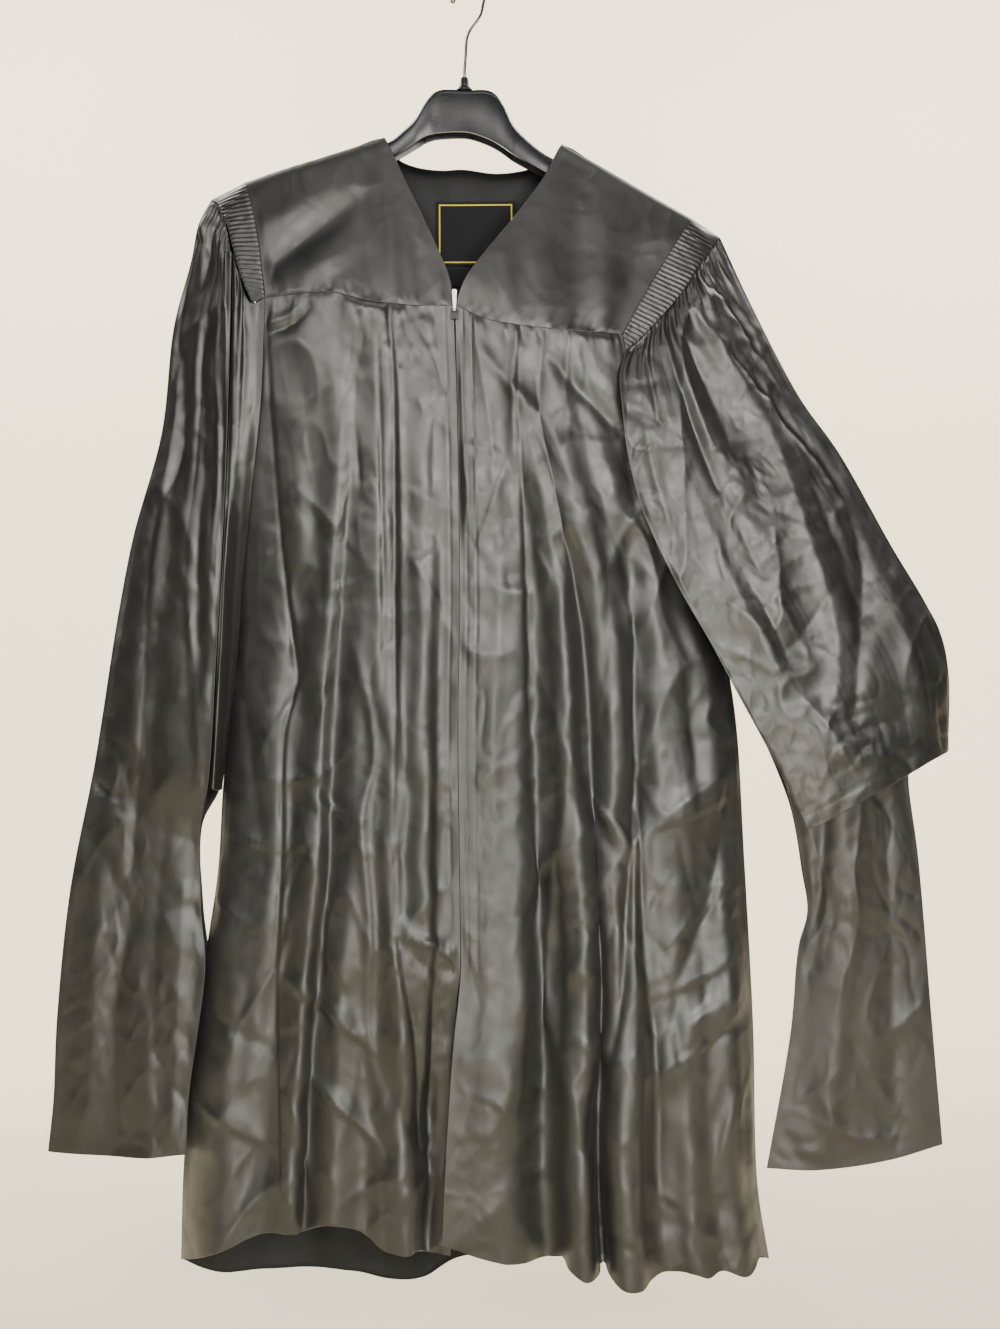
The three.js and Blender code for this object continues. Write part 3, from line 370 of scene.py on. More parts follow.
# Columns of all tables of edges: x, y, z
RIGHT_SHOULDER = [
    (-252, -MEETING, -243), (-200, -MEETING, -226), (-150, -MEETING, -210), (-95, -MEETING, -192),
]
LEFT_SHOULDER = [(107, -MEETING, -200), (150, -MEETING, -224), (200, -MEETING, -253), (254, -MEETING, -284)]
RIGHT_YOKE_SIDE = [(-252, -MEETING, -243), (-251, -12, -246), (-247, -20, -256), (-238, -30, -290),
                   (-229, -40, -343), (-224, -46, -383)]
LEFT_YOKE_SIDE = [(254, -MEETING, -284), (252, -12, -287), (244, -20, -300), (212, -31, -352),
                  (188, -39, -394), (172, -44, -423)]
BACK_NECK = [(107, MEETING, -200), (95, 19, -212), (68, 25, -220), (32, 27, -224), (-6, 28, -219),
             (-32, 28, -220), (-58, 27, -217), (-77, 23, -211), (-90, 16, -201), (-95, MEETING, -192)]
BACK_YOKE_SEAM = [(172, 36, -423), (100, 40, -402), (0, 41, -396), (-120, 41, -396), (-224, 38, -383)]
# Columns of all tables of folds: top x, top z, foot x, foot z, bow, width, rise at top, rise at foot
BACK_YOKE_CREASES = [
    (170, -300, 120, -400, 6, 16, 1.6, 2.4),
    (60, -260, 40, -400, -4, 22, 1.2, 2.0),
    (-70, -250, -90, -395, 4, 20, 1.2, 1.8),
    (-180, -270, -200, -380, 5, 16, -1.6, -2.2),
]


def mirrored(rows):
    """The same edge on the back"""
    return [(x, -y, z) for x, y, z in rows]


def moved(rows, by_x=0, by_y=0, by_z=0):
    """The same edge elsewhere"""
    return [(x + by_x, y + by_y, z + by_z) for x, y, z in rows]


def between(top, bottom, start, end, u, v):
    """A surface between four edges: u runs along top and bottom, v down both sides"""
    tops, bottoms = edge(top, u)[None], edge(bottom, u)[None]
    starts, ends = edge(start, v)[:, None], edge(end, v)[:, None]
    across, down = np.asarray(u)[None, :, None], np.asarray(v)[:, None, None]
    corners = ((1 - down) * ((1 - across) * edge(top, [0]) + across * edge(top, [1]))
               + down * ((1 - across) * edge(bottom, [0]) + across * edge(bottom, [1])))
    return (1 - down) * tops + down * bottoms + (1 - across) * starts + across * ends - corners


def smooth_step(value, reach):
    """Rises smoothly from 0 to 1 over a reach"""
    share = np.clip(np.asarray(value) / reach, 0, 1)
    return share * share * (3 - 2 * share)


def fold_rise(rows, places, sharpness=2.0, fade=35):
    """How far the folds lift the cloth, in metres"""
    x, z = places[..., 0] / MM, places[..., 2] / MM
    total = np.zeros_like(x)
    for top_x, top_z, foot_x, foot_z, bow, width, top_rise, foot_rise in rows:
        run_x, run_z = foot_x - top_x, foot_z - top_z
        length = math.hypot(run_x, run_z)
        along = ((x - top_x) * run_x + (z - top_z) * run_z) / length**2
        inside = np.clip(along, 0, 1)
        across = ((z - top_z) * run_x - (x - top_x) * run_z) / length - bow * 4 * inside * (1 - inside)
        past = (along - inside) * length / fade
        rise = top_rise + (foot_rise - top_rise) * inside
        total += rise * np.exp(-np.abs(across / width) ** sharpness - past**2)
    return total * MM


def cut_down(ways, length, least=1e-9):
    """Ways cut down to a length. Ways shorter than the least are scaled with it instead."""
    return ways * length / np.maximum(np.linalg.norm(ways, axis=-1, keepdims=True), least)


def outward(places):
    """Directions out of the outer face"""
    return cut_down(np.cross(np.gradient(places, axis=0), np.gradient(places, axis=1)), 1, 1e-12)


def lift(places, relief):
    """Moves cloth out of its face by a relief"""
    places += outward(places) * relief[..., None]


def calculated(tree, operation, *values):
    """The result of a calculation on values or sockets"""
    return node(tree, "ShaderNodeMath", dict(enumerate(values)), operation=operation).outputs["Value"]


def crumple(places, seed, sizes, stretch=0.6):
    """Creases of worn satin: thin ridges, or furrows where the rise is below zero, with flatter cloth
    between them. Sizes: spacing in mm, rise in mm, lean from upright in radians"""
    flat = places.reshape(-1, 3)
    total = np.zeros(len(flat))
    for spacing, rise, lean in sizes:
        scale = spacing * MM
        across_x, across_z = math.cos(lean), -math.sin(lean)
        for index, (x, _, z) in enumerate(flat):
            bend = noise.noise(Vector((x / (2 * scale), z / (2 * scale), seed + 7)))
            across = (x * across_x + z * across_z) / scale + BEND_ACROSS * bend
            along = (z * across_x - x * across_z) * stretch / scale + BEND_ALONG * bend
            level = abs(noise.noise(Vector((across, along, seed + spacing))))
            ridge = RIDGE_LEVEL - RIDGE_SLOPE * level + RIDGE_CREST * math.exp(-level / CREST_WIDTH)
            patch = noise.noise(Vector((x / PATCH_WIDTH, z / PATCH_HEIGHT, seed + spacing)))
            total[index] += rise * MM * ridge * max(PATCH_MIDDLE + PATCH_SWING * patch, PATCH_LEAST)
    return total.reshape(places.shape[:2])


def gathers(u, places, levels, seed, seam_row=0, column=None):
    """Gathers that leave a seam and die out. Levels: how many along the seam, rise, reach, both in mm"""
    down = places[:, len(u) // 2 if column is None else column]
    from_seam = np.linalg.norm(down - down[seam_row], axis=1)
    total = np.zeros((len(from_seam), len(u)))
    for count, rise, reach in levels:
        for row, distance in enumerate(from_seam):
            fading = math.exp(-(distance / (reach * MM)) ** 2) * rise * MM * 2
            if fading < 1e-6:
                continue
            drift = distance * GATHER_DRIFT
            total[row] += [fading * noise.noise(Vector((share * count, drift, seed + count))) for share in u]
    return total


def sewn_fade(u, v, reach_u, reach_v_top, reach_v_foot=0.0):
    """Dies out at the sewn edges, so that neighbouring pieces meet"""
    sides = smooth_step(np.minimum(u, 1 - u), reach_u)[None]
    top = smooth_step(v, reach_v_top)[:, None]
    foot = smooth_step(1 - v, reach_v_foot)[:, None] if reach_v_foot else 1
    return sides * top * foot


satin_reverse, tree, shader = new_material("satin_reverse")
dull = speckle(tree, 30, 4)
fill(tree, shader, {
    "Base Color": tinted(tree, dull, SATIN_LOW, SATIN_HIGH),
    "Roughness": ramp(tree, dull, 0.3, 0.7, 0.62, 0.74), "Specular IOR Level": 0.4,
})

satin, tree, shader = new_material("black_satin")
broad = speckle(tree, 5, 3)
thread = node(tree, "ShaderNodeUVMap", uv_map="cloth").outputs["UV"]
warp, weft = (
    speckle(tree, 1, 1, node(tree, "ShaderNodeMapping", {"Vector": thread, "Scale": scale}).outputs["Vector"])
    for scale in (WARP_SCALE, WEFT_SCALE)
)
creased = speckle(tree, 26, 5, roughness=0.45, distortion=0.7, noise_type="RIDGED_MULTIFRACTAL")
fill(tree, shader, {
    "Base Color": tinted(tree, ramp(tree, broad, 0.3, 0.7, 0, 1), SATIN_LOW, SATIN_HIGH),
    "Roughness": ramp(tree, speckle(tree, 38, 5, distortion=0.6), 0.3, 0.7, 0.38, 0.50),
    "Normal": bump(tree, creased, ramp(tree, broad, 0.38, 0.62, 0.06, 0.36), 2.2 * MM,
                   Normal=bump(tree, calculated(tree, "ADD", warp, weft), 0.16, 0.3 * MM)),
    "Tangent": node(tree, "ShaderNodeTangent", direction_type="UV_MAP", uv_map="cloth").outputs["Tangent"],
    "Specular IOR Level": 0.95, "Specular Tint": (1.0, 0.985, 0.93, 1),
    "Sheen Weight": 0.03, "Sheen Roughness": 0.4, "Anisotropic": 0.45,
})


def edges_turned_in(places):
    """Adds a narrow lip that rolls behind on every side, as seams and hems do"""
    for axis in (0, 1):
        line = np.moveaxis(places, axis, 0)
        first = line[:1] + cut_down(line[1] - line[0], EDGE_BAND, EDGE_BAND * 1.5)
        last = line[-1:] + cut_down(line[-2] - line[-1], EDGE_BAND, EDGE_BAND * 1.5)
        places = np.moveaxis(np.concatenate([line[:1], first, line[1:-1], last, line[-1:]]), 0, axis)
    lip = places - outward(places) * EDGE_DEPTH
    down = cut_down(np.gradient(places, axis=0), EDGE_OVERLAP)
    right = cut_down(np.gradient(places, axis=1), EDGE_OVERLAP)
    above, below = (lip - down)[:1], (lip + down)[-1:]
    left, after = (lip - right)[:, :1], (lip + right)[:, -1:]
    corners = [(above[:, :1] + left[:1]) / 2, (above[:, -1:] + after[:1]) / 2,
               (below[:, :1] + left[-1:]) / 2, (below[:, -1:] + after[-1:]) / 2]
    return np.concatenate([
        np.concatenate([corners[0], above, corners[1]], axis=1),
        np.concatenate([left, places, after], axis=1),
        np.concatenate([corners[2], below, corners[3]], axis=1),
    ], axis=0)


def cloth(name, places, solid):
    """A panel of satin: a thin shell that stands for its solid, which it hides"""
    made = grid_piece(name, edges_turned_in(places), satin, uv=True)
    made.data.materials.append(satin_reverse)
    shell = made.modifiers.new("thickness", "SOLIDIFY")
    shell.thickness = CLOTH
    shell.offset = -1
    shell.material_offset = 1
    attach(made, "root")
    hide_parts(solid)


back_yoke_top = [*mirrored(LEFT_SHOULDER)[::-1], *BACK_NECK[1:-1], *mirrored(RIGHT_SHOULDER)[::-1]]
u, v = shares(170), shares(62) ** 1.4
places = between(
    back_yoke_top, BACK_YOKE_SEAM,
    [*mirrored(LEFT_YOKE_SIDE[:-1]), BACK_YOKE_SEAM[0]],
    [*mirrored(RIGHT_YOKE_SIDE[:-1]), BACK_YOKE_SEAM[-1]], u, v,
)
relief = fold_rise(BACK_YOKE_CREASES, places) + crumple(places, 3.3, [(60, 0.5, 0.4), (26, 0.25, -0.5)])
relief += gathers(u, places, [(70, 0.7, 14), (24, 0.7, 34)], 2.1, seam_row=-1)
lift(places, relief * sewn_fade(u, v, 0.04, 0.05, 0.03))
cloth("back_yoke_cloth", places, "back_yoke")

# Labels: a woven label and a small size tag below it, sewn inside the back of the neck.
# Black damask with a gold border woven in. Both are left without words.
LABEL_LEFT, LABEL_RIGHT, LABEL_TOP, LABEL_FOOT = -38 * MM, 54 * MM, -252 * MM, -326 * MM
BORDER_INSET = 4.2 * MM
BORDER_WIDTH = 1.5 * MM
GOLD_THREAD = (0.78, 0.60, 0.06)


def bands(tree, scale, distortion, direction):
    """Even stripes, as of ribs or twisted thread"""
    place = node(tree, "ShaderNodeTexCoord").outputs["Object"]
    return node(tree, "ShaderNodeTexWave", {
        "Vector": place, "Scale": scale, "Distortion": distortion,
    }, bands_direction=direction).outputs["Fac"]


def label_material(name, with_border):
    """Black damask, with or without the gold border line"""
    made, tree, shader = new_material(name)
    place = node(tree, "ShaderNodeTexCoord").outputs["Object"]
    threads = speckle(tree, 1, 2, node(tree, "ShaderNodeMapping", {
        "Vector": place, "Scale": (3000, 1, 600),
    }).outputs["Vector"])
    ground = tinted(tree, threads, (0.004, 0.004, 0.005), (0.014, 0.014, 0.016))
    if with_border:
        parts = node(tree, "ShaderNodeSeparateXYZ", {"Vector": place})
        sides = []
        for socket, low, high in (("X", LABEL_LEFT, LABEL_RIGHT), ("Z", LABEL_FOOT, LABEL_TOP)):
            off = calculated(tree, "SUBTRACT", parts.outputs[socket], (low + high) / 2)
            inset = (high - low) / 2 - BORDER_INSET
            sides.append(calculated(tree, "SUBTRACT", calculated(tree, "ABSOLUTE", off), inset))
        distance = calculated(tree, "ABSOLUTE", calculated(tree, "MAXIMUM", *sides))
        ground = node(tree, "ShaderNodeMix", {
            "Factor": ramp(tree, distance, BORDER_WIDTH * 0.4, BORDER_WIDTH * 0.6, 1, 0),
            "A": ground, "B": (*GOLD_THREAD, 1),
        }, data_type="RGBA").outputs[2]
    fill(tree, shader, {
        "Base Color": ground, "Roughness": 0.72, "Specular IOR Level": 0.25,
        "Normal": bump(tree, bands(tree, 420, 0.6, "Z"), 0.35, 0.3 * MM),
    })
    return made


for label_node, has_border in (("neck_label", True), ("size_tag", False)):
    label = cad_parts[label_node]
    label.material_slots[0].material = label_material("woven_" + label_node, has_border)

# Front yokes: one smooth satin piece on each side of the V neck, doubled, so that the neck edge is
# a clean fold. The lower edge takes the gathered fronts, which pucker the seam.
RIGHT_NECK = [
    (-95, -MEETING, -192), (-94, -12, -195), (-89, -20, -206), (-78, -27, -230), (-57, -37, -276),
    (-36, -47, -322), (-19, -54, -364), (-15, -58, -394),
]
LEFT_NECK = [
    (107, -MEETING, -200), (106, -12, -203), (100, -20, -215), (86, -27, -243), (51, -38, -293),
    (22, -48, -330), (-1, -55, -362), (-13, -58, -393),
]
RIGHT_YOKE_SEAM = [
    (-224, -46, -383), (-153, -57, -379), (-112, -59, -388), (-64, -59, -394), (-15, -58, -394),
]
LEFT_YOKE_SEAM = [
    (-13, -58, -393), (18, -59, -408), (58, -59, -416), (116, -56, -421), (172, -44, -423),
]
# On a pleat's far side the cloth drops this many times faster
PLEAT_EDGE = 9
# A crease is a line of places on the front plane. Columns: x, z, width, rise
RIGHT_YOKE_CREASES = [
    [(-224, -352, 13, -4), (-196, -326, 16, -8.5), (-160, -298, 18, -7.5), (-126, -272, 16, -3)],
    [(-232, -300, 16, 1.5), (-196, -282, 18, 2.6), (-160, -256, 16, 1.6)],
    [(-190, -372, 14, 1.2), (-158, -345, 15, 2.6), (-120, -318, 15, 1.6)],
    [(-96, -236, 8, 0.6), (-86, -300, 9, 1.8), (-80, -384, 9, 1.4)],
    [(-118, -240, 9, -0.5), (-112, -300, 10, -1.6), (-106, -380, 10, -1.2)],
    [(-62, -300, 7, -0.4), (-54, -345, 8, -1.3), (-50, -390, 7, -1.0)],
]
LEFT_YOKE_CREASES = [
    [(128, -252, 16, -1.0), (124, -330, 20, -2.8), (122, -410, 16, -2.0)],
    [(160, -262, 18, 1.2), (152, -340, 20, 2.6), (148, -412, 16, 1.2)],
    [(86, -262, 14, 0.8), (84, -330, 16, 2.0), (80, -405, 14, 1.4)],
    [(200, -310, 14, -0.8), (184, -360, 15, -1.8), (170, -408, 12, -1.0)],
    [(40, -330, 9, 0.6), (46, -365, 10, 1.4), (48, -404, 9, 1.0)],
]


def crease_rise(creases, places, sharpness=2.0, one_sided=False):
    """How far the creases lift the cloth, in metres. A rise below zero makes a trough. A one-sided
    crease lifts the cloth only on its left, for a line that runs down, and so makes a pleat's edge."""
    x, z = places[..., 0] / MM, places[..., 2] / MM
    total = np.zeros_like(x)
    for rows in creases:
        line = edge([(x_place, 0, z_place) for x_place, z_place, _, _ in rows], shares(8 * len(rows)), 1)
        stops, along = shares(len(rows)), shares(len(line))
        width = np.interp(along, stops, [row[2] for row in rows])
        rise = np.interp(along, stops, [row[3] for row in rows])
        nearest = np.full(x.shape, 1e9)
        height = np.zeros_like(x)
        for index in range(len(line) - 1):
            from_x, from_z = line[index, 0], line[index, 2]
            run_x, run_z = line[index + 1, 0] - from_x, line[index + 1, 2] - from_z
            share = ((x - from_x) * run_x + (z - from_z) * run_z) / (run_x**2 + run_z**2)
            share = np.clip(share, 0, 1)
            distance = np.hypot(x - from_x - share * run_x, z - from_z - share * run_z)
            if one_sided:
                above = (x - from_x) * run_z - (z - from_z) * run_x > 0
                distance = np.where(above, distance, distance * PLEAT_EDGE)
            wide = width[index] + (width[index + 1] - width[index]) * share
            high = rise[index] + (rise[index + 1] - rise[index]) * share
            closer = distance < nearest
            nearest = np.where(closer, distance, nearest)
            height = np.where(closer, high * np.exp(-np.abs(distance / wide) ** sharpness), height)
        total += height
    return total * MM


u, v = shares(100), shares(84) ** 1.4
for name, node_name, sides, creases, seed, flat, area in (
    ("front_yoke_right_cloth", "front_yoke_right",
     (RIGHT_SHOULDER, RIGHT_YOKE_SEAM, RIGHT_YOKE_SIDE, RIGHT_NECK), RIGHT_YOKE_CREASES, 11.2,
     (0.22, 0.24), 0.0365),
    ("front_yoke_left_cloth", "front_yoke_left",
     (LEFT_SHOULDER, LEFT_YOKE_SEAM, LEFT_NECK, LEFT_YOKE_SIDE), LEFT_YOKE_CREASES, 17.9,
     (0.20, 0.25), 0.038),
):
    places = between(*sides, u, v)
    relief = crease_rise(creases, places) + crumple(places, seed, [(64, 0.45, 0.3), (24, 0.22, -0.5)])
    relief += gathers(u, places, [(30, 0.8, 9), (13, 0.8, 26)], seed, seam_row=-1)
    lift(places, relief * sewn_fade(u, v, 0.06, 0.1, 0.012))
    cloth(name, places, node_name)

# Shoulder bands: strips of satin corded into even flutes, set between yoke and sleeve.
# They run from the back over the shoulder, and lie plain for a thumb's width at the top.
FLUTE_PITCH = 5.3
FLUTE_RISE = 2.0
FLUTE_FADE = 0.06
FLUTE_SLANT = 0.045
FLUTE_START = 0.03
FLUTE_ROUND = 0.7
FLUTE_LEAST = 0.85
FLUTE_UNEVEN = 0.4
FLUTE_END, FLUTE_END_FADE = 0.04, 0.09
RIGHT_BAND_SLEEVE = [
    (-291, -MEETING, -262), (-280, -14, -273), (-271, -25, -294), (-261, -35, -328), (-252, -41, -358),
    (-239, -45, -389),
]
LEFT_BAND_SLEEVE = [
    (286, -MEETING, -305), (264, -20, -336), (240, -31, -374), (211, -38, -408), (186, -41, -434),
    (176, -43, -441),
]


def over_shoulder(rows):
    """A front edge carried on over the shoulder from the back"""
    return [*mirrored(rows)[::-1], *rows]


for name, node_name, start, end, flat, area in (
    ("fluting_right_cloth", "fluting_right", RIGHT_BAND_SLEEVE, moved(RIGHT_YOKE_SIDE, -SEAM_GAP),
     (0.045, 0.38), 0.0117),
    ("fluting_left_cloth", "fluting_left", moved(LEFT_YOKE_SIDE, SEAM_GAP), LEFT_BAND_SLEEVE,
     (0.04, 0.45), 0.0145),
):
    start, end = over_shoulder(start), over_shoulder(end)
    length = np.linalg.norm(np.diff(edge(start, shares(200)), axis=0), axis=1).sum() / MM
    flutes = round(length / FLUTE_PITCH)
    u, v = shares(12), shares(flutes * 9)
    places = between([start[0], end[0]], [start[-1], end[-1]], start, end, u, v)
    yoke_share = u if node_name == "fluting_right" else 1 - u
    level = FLUTE_SLANT * np.sign(v - 0.5)[:, None] * (yoke_share[None] - 0.5)
    turn = math.pi * flutes * (v[:, None] - level)
    cords = np.abs(np.sin(turn)) ** FLUTE_ROUND
    cords *= smooth_step(np.abs(v - 0.5) - FLUTE_START, FLUTE_FADE)[:, None]
    sides = smooth_step(np.minimum(u, 1 - u) + FLUTE_END, FLUTE_END_FADE)[None]
    uneven = np.array([[FLUTE_LEAST + FLUTE_UNEVEN * noise.noise(Vector((share * 2, down * 40, 5)))
                        for share in u] for down in v])
    lift(places, FLUTE_RISE * MM * cords * sides * uneven)
    cloth(name, places, node_name)

# Fronts: two long satin panels gathered lightly into the yokes, meeting over the zip.
# They hang in soft tubes between pressed pleats, and are open at the foot with turned hems.
RIGHT_SIDE = [
    (-224, -46, -383), (-233, -37, -500), (-247, -24, -610), (-260, -6, -715), (-262, -MEETING, -745),
    (-278, -MEETING, -925), (-284, -MEETING, -1023), (-299, -MEETING, -1128), (-322, -MEETING, -1343),
    (-326, -MEETING, -1465),
]
LEFT_SIDE = [
    (172, -44, -423), (192, -36, -520), (232, -24, -620), (268, -6, -700), (291, -MEETING, -775),
    (304, -MEETING, -850), (314, -MEETING, -1011), (324, -MEETING, -1198), (329, -MEETING, -1380),
    (342, -MEETING, -1464),
]
RIGHT_CENTRE = [
    (-15, -58, -394), (-11.3, -58, -499), (-8.3, -58, -719), (-10.3, -58, -851), (-7.4, -58, -1100),
    (-7.6, -57, -1130), (-11.5, -52, -1165), (-13, -47, -1200), (-15, -42, -1320), (-19, -42, -1446),
]
LEFT_CENTRE = [
    (-13, -58, -393), (-10.7, -58, -499), (-7.7, -58, -719), (-9.7, -58, -851), (-6.8, -58, -1100),
    (-6.9, -58.5, -1130), (-10, -61, -1165), (-14, -64, -1200), (-22, -70, -1316), (-27, -72, -1424),
]
RIGHT_HEM = [
    (-326, -MEETING, -1465), (-297, -38, -1448), (-257, -60, -1429), (-226, -54, -1417),
    (-194, -68, -1414), (-181, -48, -1415), (-150, -66, -1403), (-113, -60, -1415), (-91, -66, -1432),
    (-66, -68, -1435), (-54, -62, -1434), (-48, -44, -1441), (-19, -42, -1446),
]
LEFT_HEM = [
    (-27, -72, -1424), (17, -68, -1440), (50, -62, -1448), (84, -46, -1449), (105, -54, -1444),
    (114, -72, -1453), (132, -80, -1462), (145, -66, -1457), (150, -52, -1450), (158, -72, -1459),
    (172, -86, -1468), (190, -84, -1469), (202, -66, -1463), (218, -54, -1459), (252, -64, -1461),
    (266, -60, -1465), (282, -50, -1460), (312, -46, -1468), (328, -24, -1454), (342, -MEETING, -1464),
]
RIGHT_FRONT_FOLDS = [
    (-93, -400, -64, -1430, -7, 8, 5, 13), (-78, -400, -46, -1430, -7, 9, -4, -12),
    (-224, -440, -190, -810, 0, 10, -4, -12), (-192, -830, -205, -1415, -4, 10, -4, -5),
    (-205, -450, -174, -810, 0, 12, 4, 6), (-176, -830, -184, -1410, 0, 13, 4, 3),
    (-118, -415, -50, -600, 6, 13, 4, 4), (-150, -430, -150, -1400, 6, 20, 3, 9),
    (-122, -640, -122, -1410, 0, 12, -1, -5), (-50, -680, -42, -1120, 0, 11, 4, 6),
    (-255, -800, -290, -1440, 0, 15, 4, 10), (-232, -960, -252, -1440, 0, 9, -2, -10),
]
LEFT_FRONT_FOLDS = [
    (47, -420, 58, -1160, 6, 9, 4, 8), (62, -430, 76, -1040, 4, 9, -3, -10),
    (78, -1040, 89, -1440, 2, 13, -14, -16), (2, -430, 179, -722, -10, 13, 4, 8),
    (92, -454, 173, -545, -4, 14, -7, -12), (176, -560, 181, -940, 7, 11, -12, -16),
    (180, -940, 163, -1235, 2, 12, -16, -10), (133, -884, 174, -1048, -5, 9, -10, -8),
    (200, -741, 216, -1214, 0, 12, 8, 10), (128, -1290, 149, -1452, 0, 8, -8, -10),
    (150, -1120, 178, -1475, 0, 15, 8, 8), (108, -1190, 131, -1468, 0, 11, 5, 6),
    (24, -640, 34, -1440, 0, 14, 4, 7), (290, -930, 274, -1062, 0, 12, -8, -8),
    (306, -1150, 222, -1240, -6, 14, 8, 8), (236, -850, 244, -1455, 4, 12, -4, -12),
    (110, -560, 104, -900, 4, 16, 5, 6),
]
RIGHT_FRONT_CREASES = [
    [(-86, -398, 2.6, -2.0), (-80, -480, 2.6, -3.2), (-78, -700, 2.8, -3.4), (-77, -900, 3, -2.4),
     (-75, -1000, 4, -1.2)],
    [(-78, -440, 5, 0.8), (-72, -560, 5, 2.2), (-70, -760, 6, 2.0), (-70, -900, 6, 1.0)],
    [(-98, -430, 3, -0.8), (-95, -540, 3, -2.6), (-92, -700, 3.5, -2.2), (-92, -820, 4, -0.8)],
    [(-76, -1080, 5, -2), (-57, -1231, 5, -4), (-55, -1367, 5, -4), (-57, -1431, 5, -3)],
    [(-122, -535, 3, -0.6), (-120, -565, 3.5, -2.2), (-118, -598, 3, -0.6)],
    [(-223, -400, 3, -1.8), (-215, -533, 3, -2.2), (-204, -680, 3.2, -3), (-188, -808, 4, -4)],
    [(-190, -812, 3, -1.5), (-203, -870, 3, -2), (-205, -1000, 3, -2), (-211, -1150, 3, -2),
     (-208, -1224, 3, -2), (-205, -1340, 3, -2), (-194, -1420, 3, -1.5)],
    [(-184, -905, 6, -0.8), (-160, -930, 7, -2.4), (-126, -962, 7, -1)],
    [(-205, -1130, 7, 0.8), (-160, -1158, 9, 3), (-118, -1196, 8, 1)],
    [(-288, -1180, 6, -0.8), (-258, -1196, 7, -2.6), (-216, -1216, 6, -1)],
    [(-196, -1170, 5, -1), (-188, -1216, 5, -3), (-200, -1258, 4, -1)],
    [(-196, -1262, 5, 0.8), (-184, -1300, 6, 2.4), (-178, -1330, 5, 0.8)],
    [(-121, -774, 7, 1), (-102, -888, 7, 3.6), (-116, -957, 7, 3.6), (-107, -1070, 8, 3.8),
     (-107, -1207, 8, 3.4), (-79, -1321, 8, 1.6)],
    [(-75, -1093, 7, -2), (-45, -1120, 8, -3.2), (-8, -1130, 6, -1.5)],
    [(-70, -1075, 8, 1.6), (-42, -1098, 9, 2.6), (-8, -1108, 7, 1)],
    [(-216, -421, 4, -2), (-196, -414, 5, -4.5), (-174, -394, 5, -2.5)],
    [(-214, -412, 6, 1.6), (-190, -402, 7, 3), (-172, -390, 6, 1)],
    [(-150, -440, 9, 0.8), (-140, -560, 12, 2.2), (-150, -700, 12, 1.6), (-158, -800, 10, 0.8)],
    [(-182, -470, 8, -0.6), (-172, -600, 10, -1.8), (-160, -720, 10, -1.2)],
    [(-262, -790, 8, -1), (-240, -900, 10, -2.8), (-226, -1010, 9, -1.5)],
    [(-280, -1020, 10, 1.2), (-262, -1160, 12, 3), (-280, -1330, 12, 2)],
    [(-150, -1000, 9, -1), (-160, -1120, 10, -2.6), (-148, -1260, 10, -2)],
    [(-60, -640, 6, 0.6), (-48, -760, 8, 1.8), (-58, -900, 8, 1)],
    [(-40, -430, 6, -0.5), (-36, -560, 7, -1.4), (-46, -700, 7, -0.8)],
]
RIGHT_FRONT_PLEATS = [
    [(-79, -1085, 12, 0.5), (-77, -1000, 14, 2.4), (-77, -915, 16, 3.0), (-78, -700, 16, 3.0),
     (-80, -480, 14, 2.4), (-86, -398, 12, 0.6)],
    [(-191, -1420, 14, 2.6), (-203, -1340, 18, 3.2), (-206, -1224, 20, 3.4), (-209, -1150, 20, 3.4),
     (-203, -1000, 20, 3.4), (-200, -865, 16, 2.6), (-188, -815, 12, 2.0), (-203, -676, 12, 2.2),
     (-216, -521, 12, 2.0), (-222, -422, 10, 0.8)],
    [(-79, -1085, 12, 1.0), (-72, -1134, 12, 3.0), (-63, -1188, 14, 3.6), (-56, -1270, 14, 3.8),
     (-55, -1370, 14, 3.8), (-58, -1432, 14, 3.4)],
    [(-6, -1127, 8, 2.0), (-26, -1108, 10, 3.6), (-50, -1094, 10, 3.4), (-78, -1089, 8, 1.4)],
    [(-94, -1224, 10, 1.0), (-145, -1182, 14, 3.4), (-200, -1140, 10, 1.2)],
    [(-204, -1330, 10, 1.0), (-255, -1306, 14, 3.2), (-306, -1282, 10, 1.4)],
    [(-102, -1315, 10, 0.8), (-140, -1279, 14, 3.2), (-178, -1243, 10, 1.0)],
    [(-241, -1085, 8, 0.8), (-266, -1067, 12, 2.8), (-291, -1049, 8, 1.0)],
    [(-109, -970, 8, 0.8), (-140, -956, 12, 2.8), (-172, -943, 8, 1.0)],
    [(-131, -1148, 8, 0.8), (-153, -1119, 12, 2.6), (-175, -1090, 8, 1.0)],
    [(-208, -998, 8, 0.8), (-238, -989, 10, 2.4), (-269, -980, 8, 0.8)],
    [(-171, -1359, 8, 0.8), (-184, -1326, 10, 2.6), (-197, -1293, 8, 1.0)],
    [(-118, -672, 8, 0.8), (-156, -630, 12, 2.4), (-195, -589, 8, 0.8)],
    [(-162, -710, 6, 0.6), (-141, -703, 10, 2.2), (-121, -696, 6, 0.8)],
]
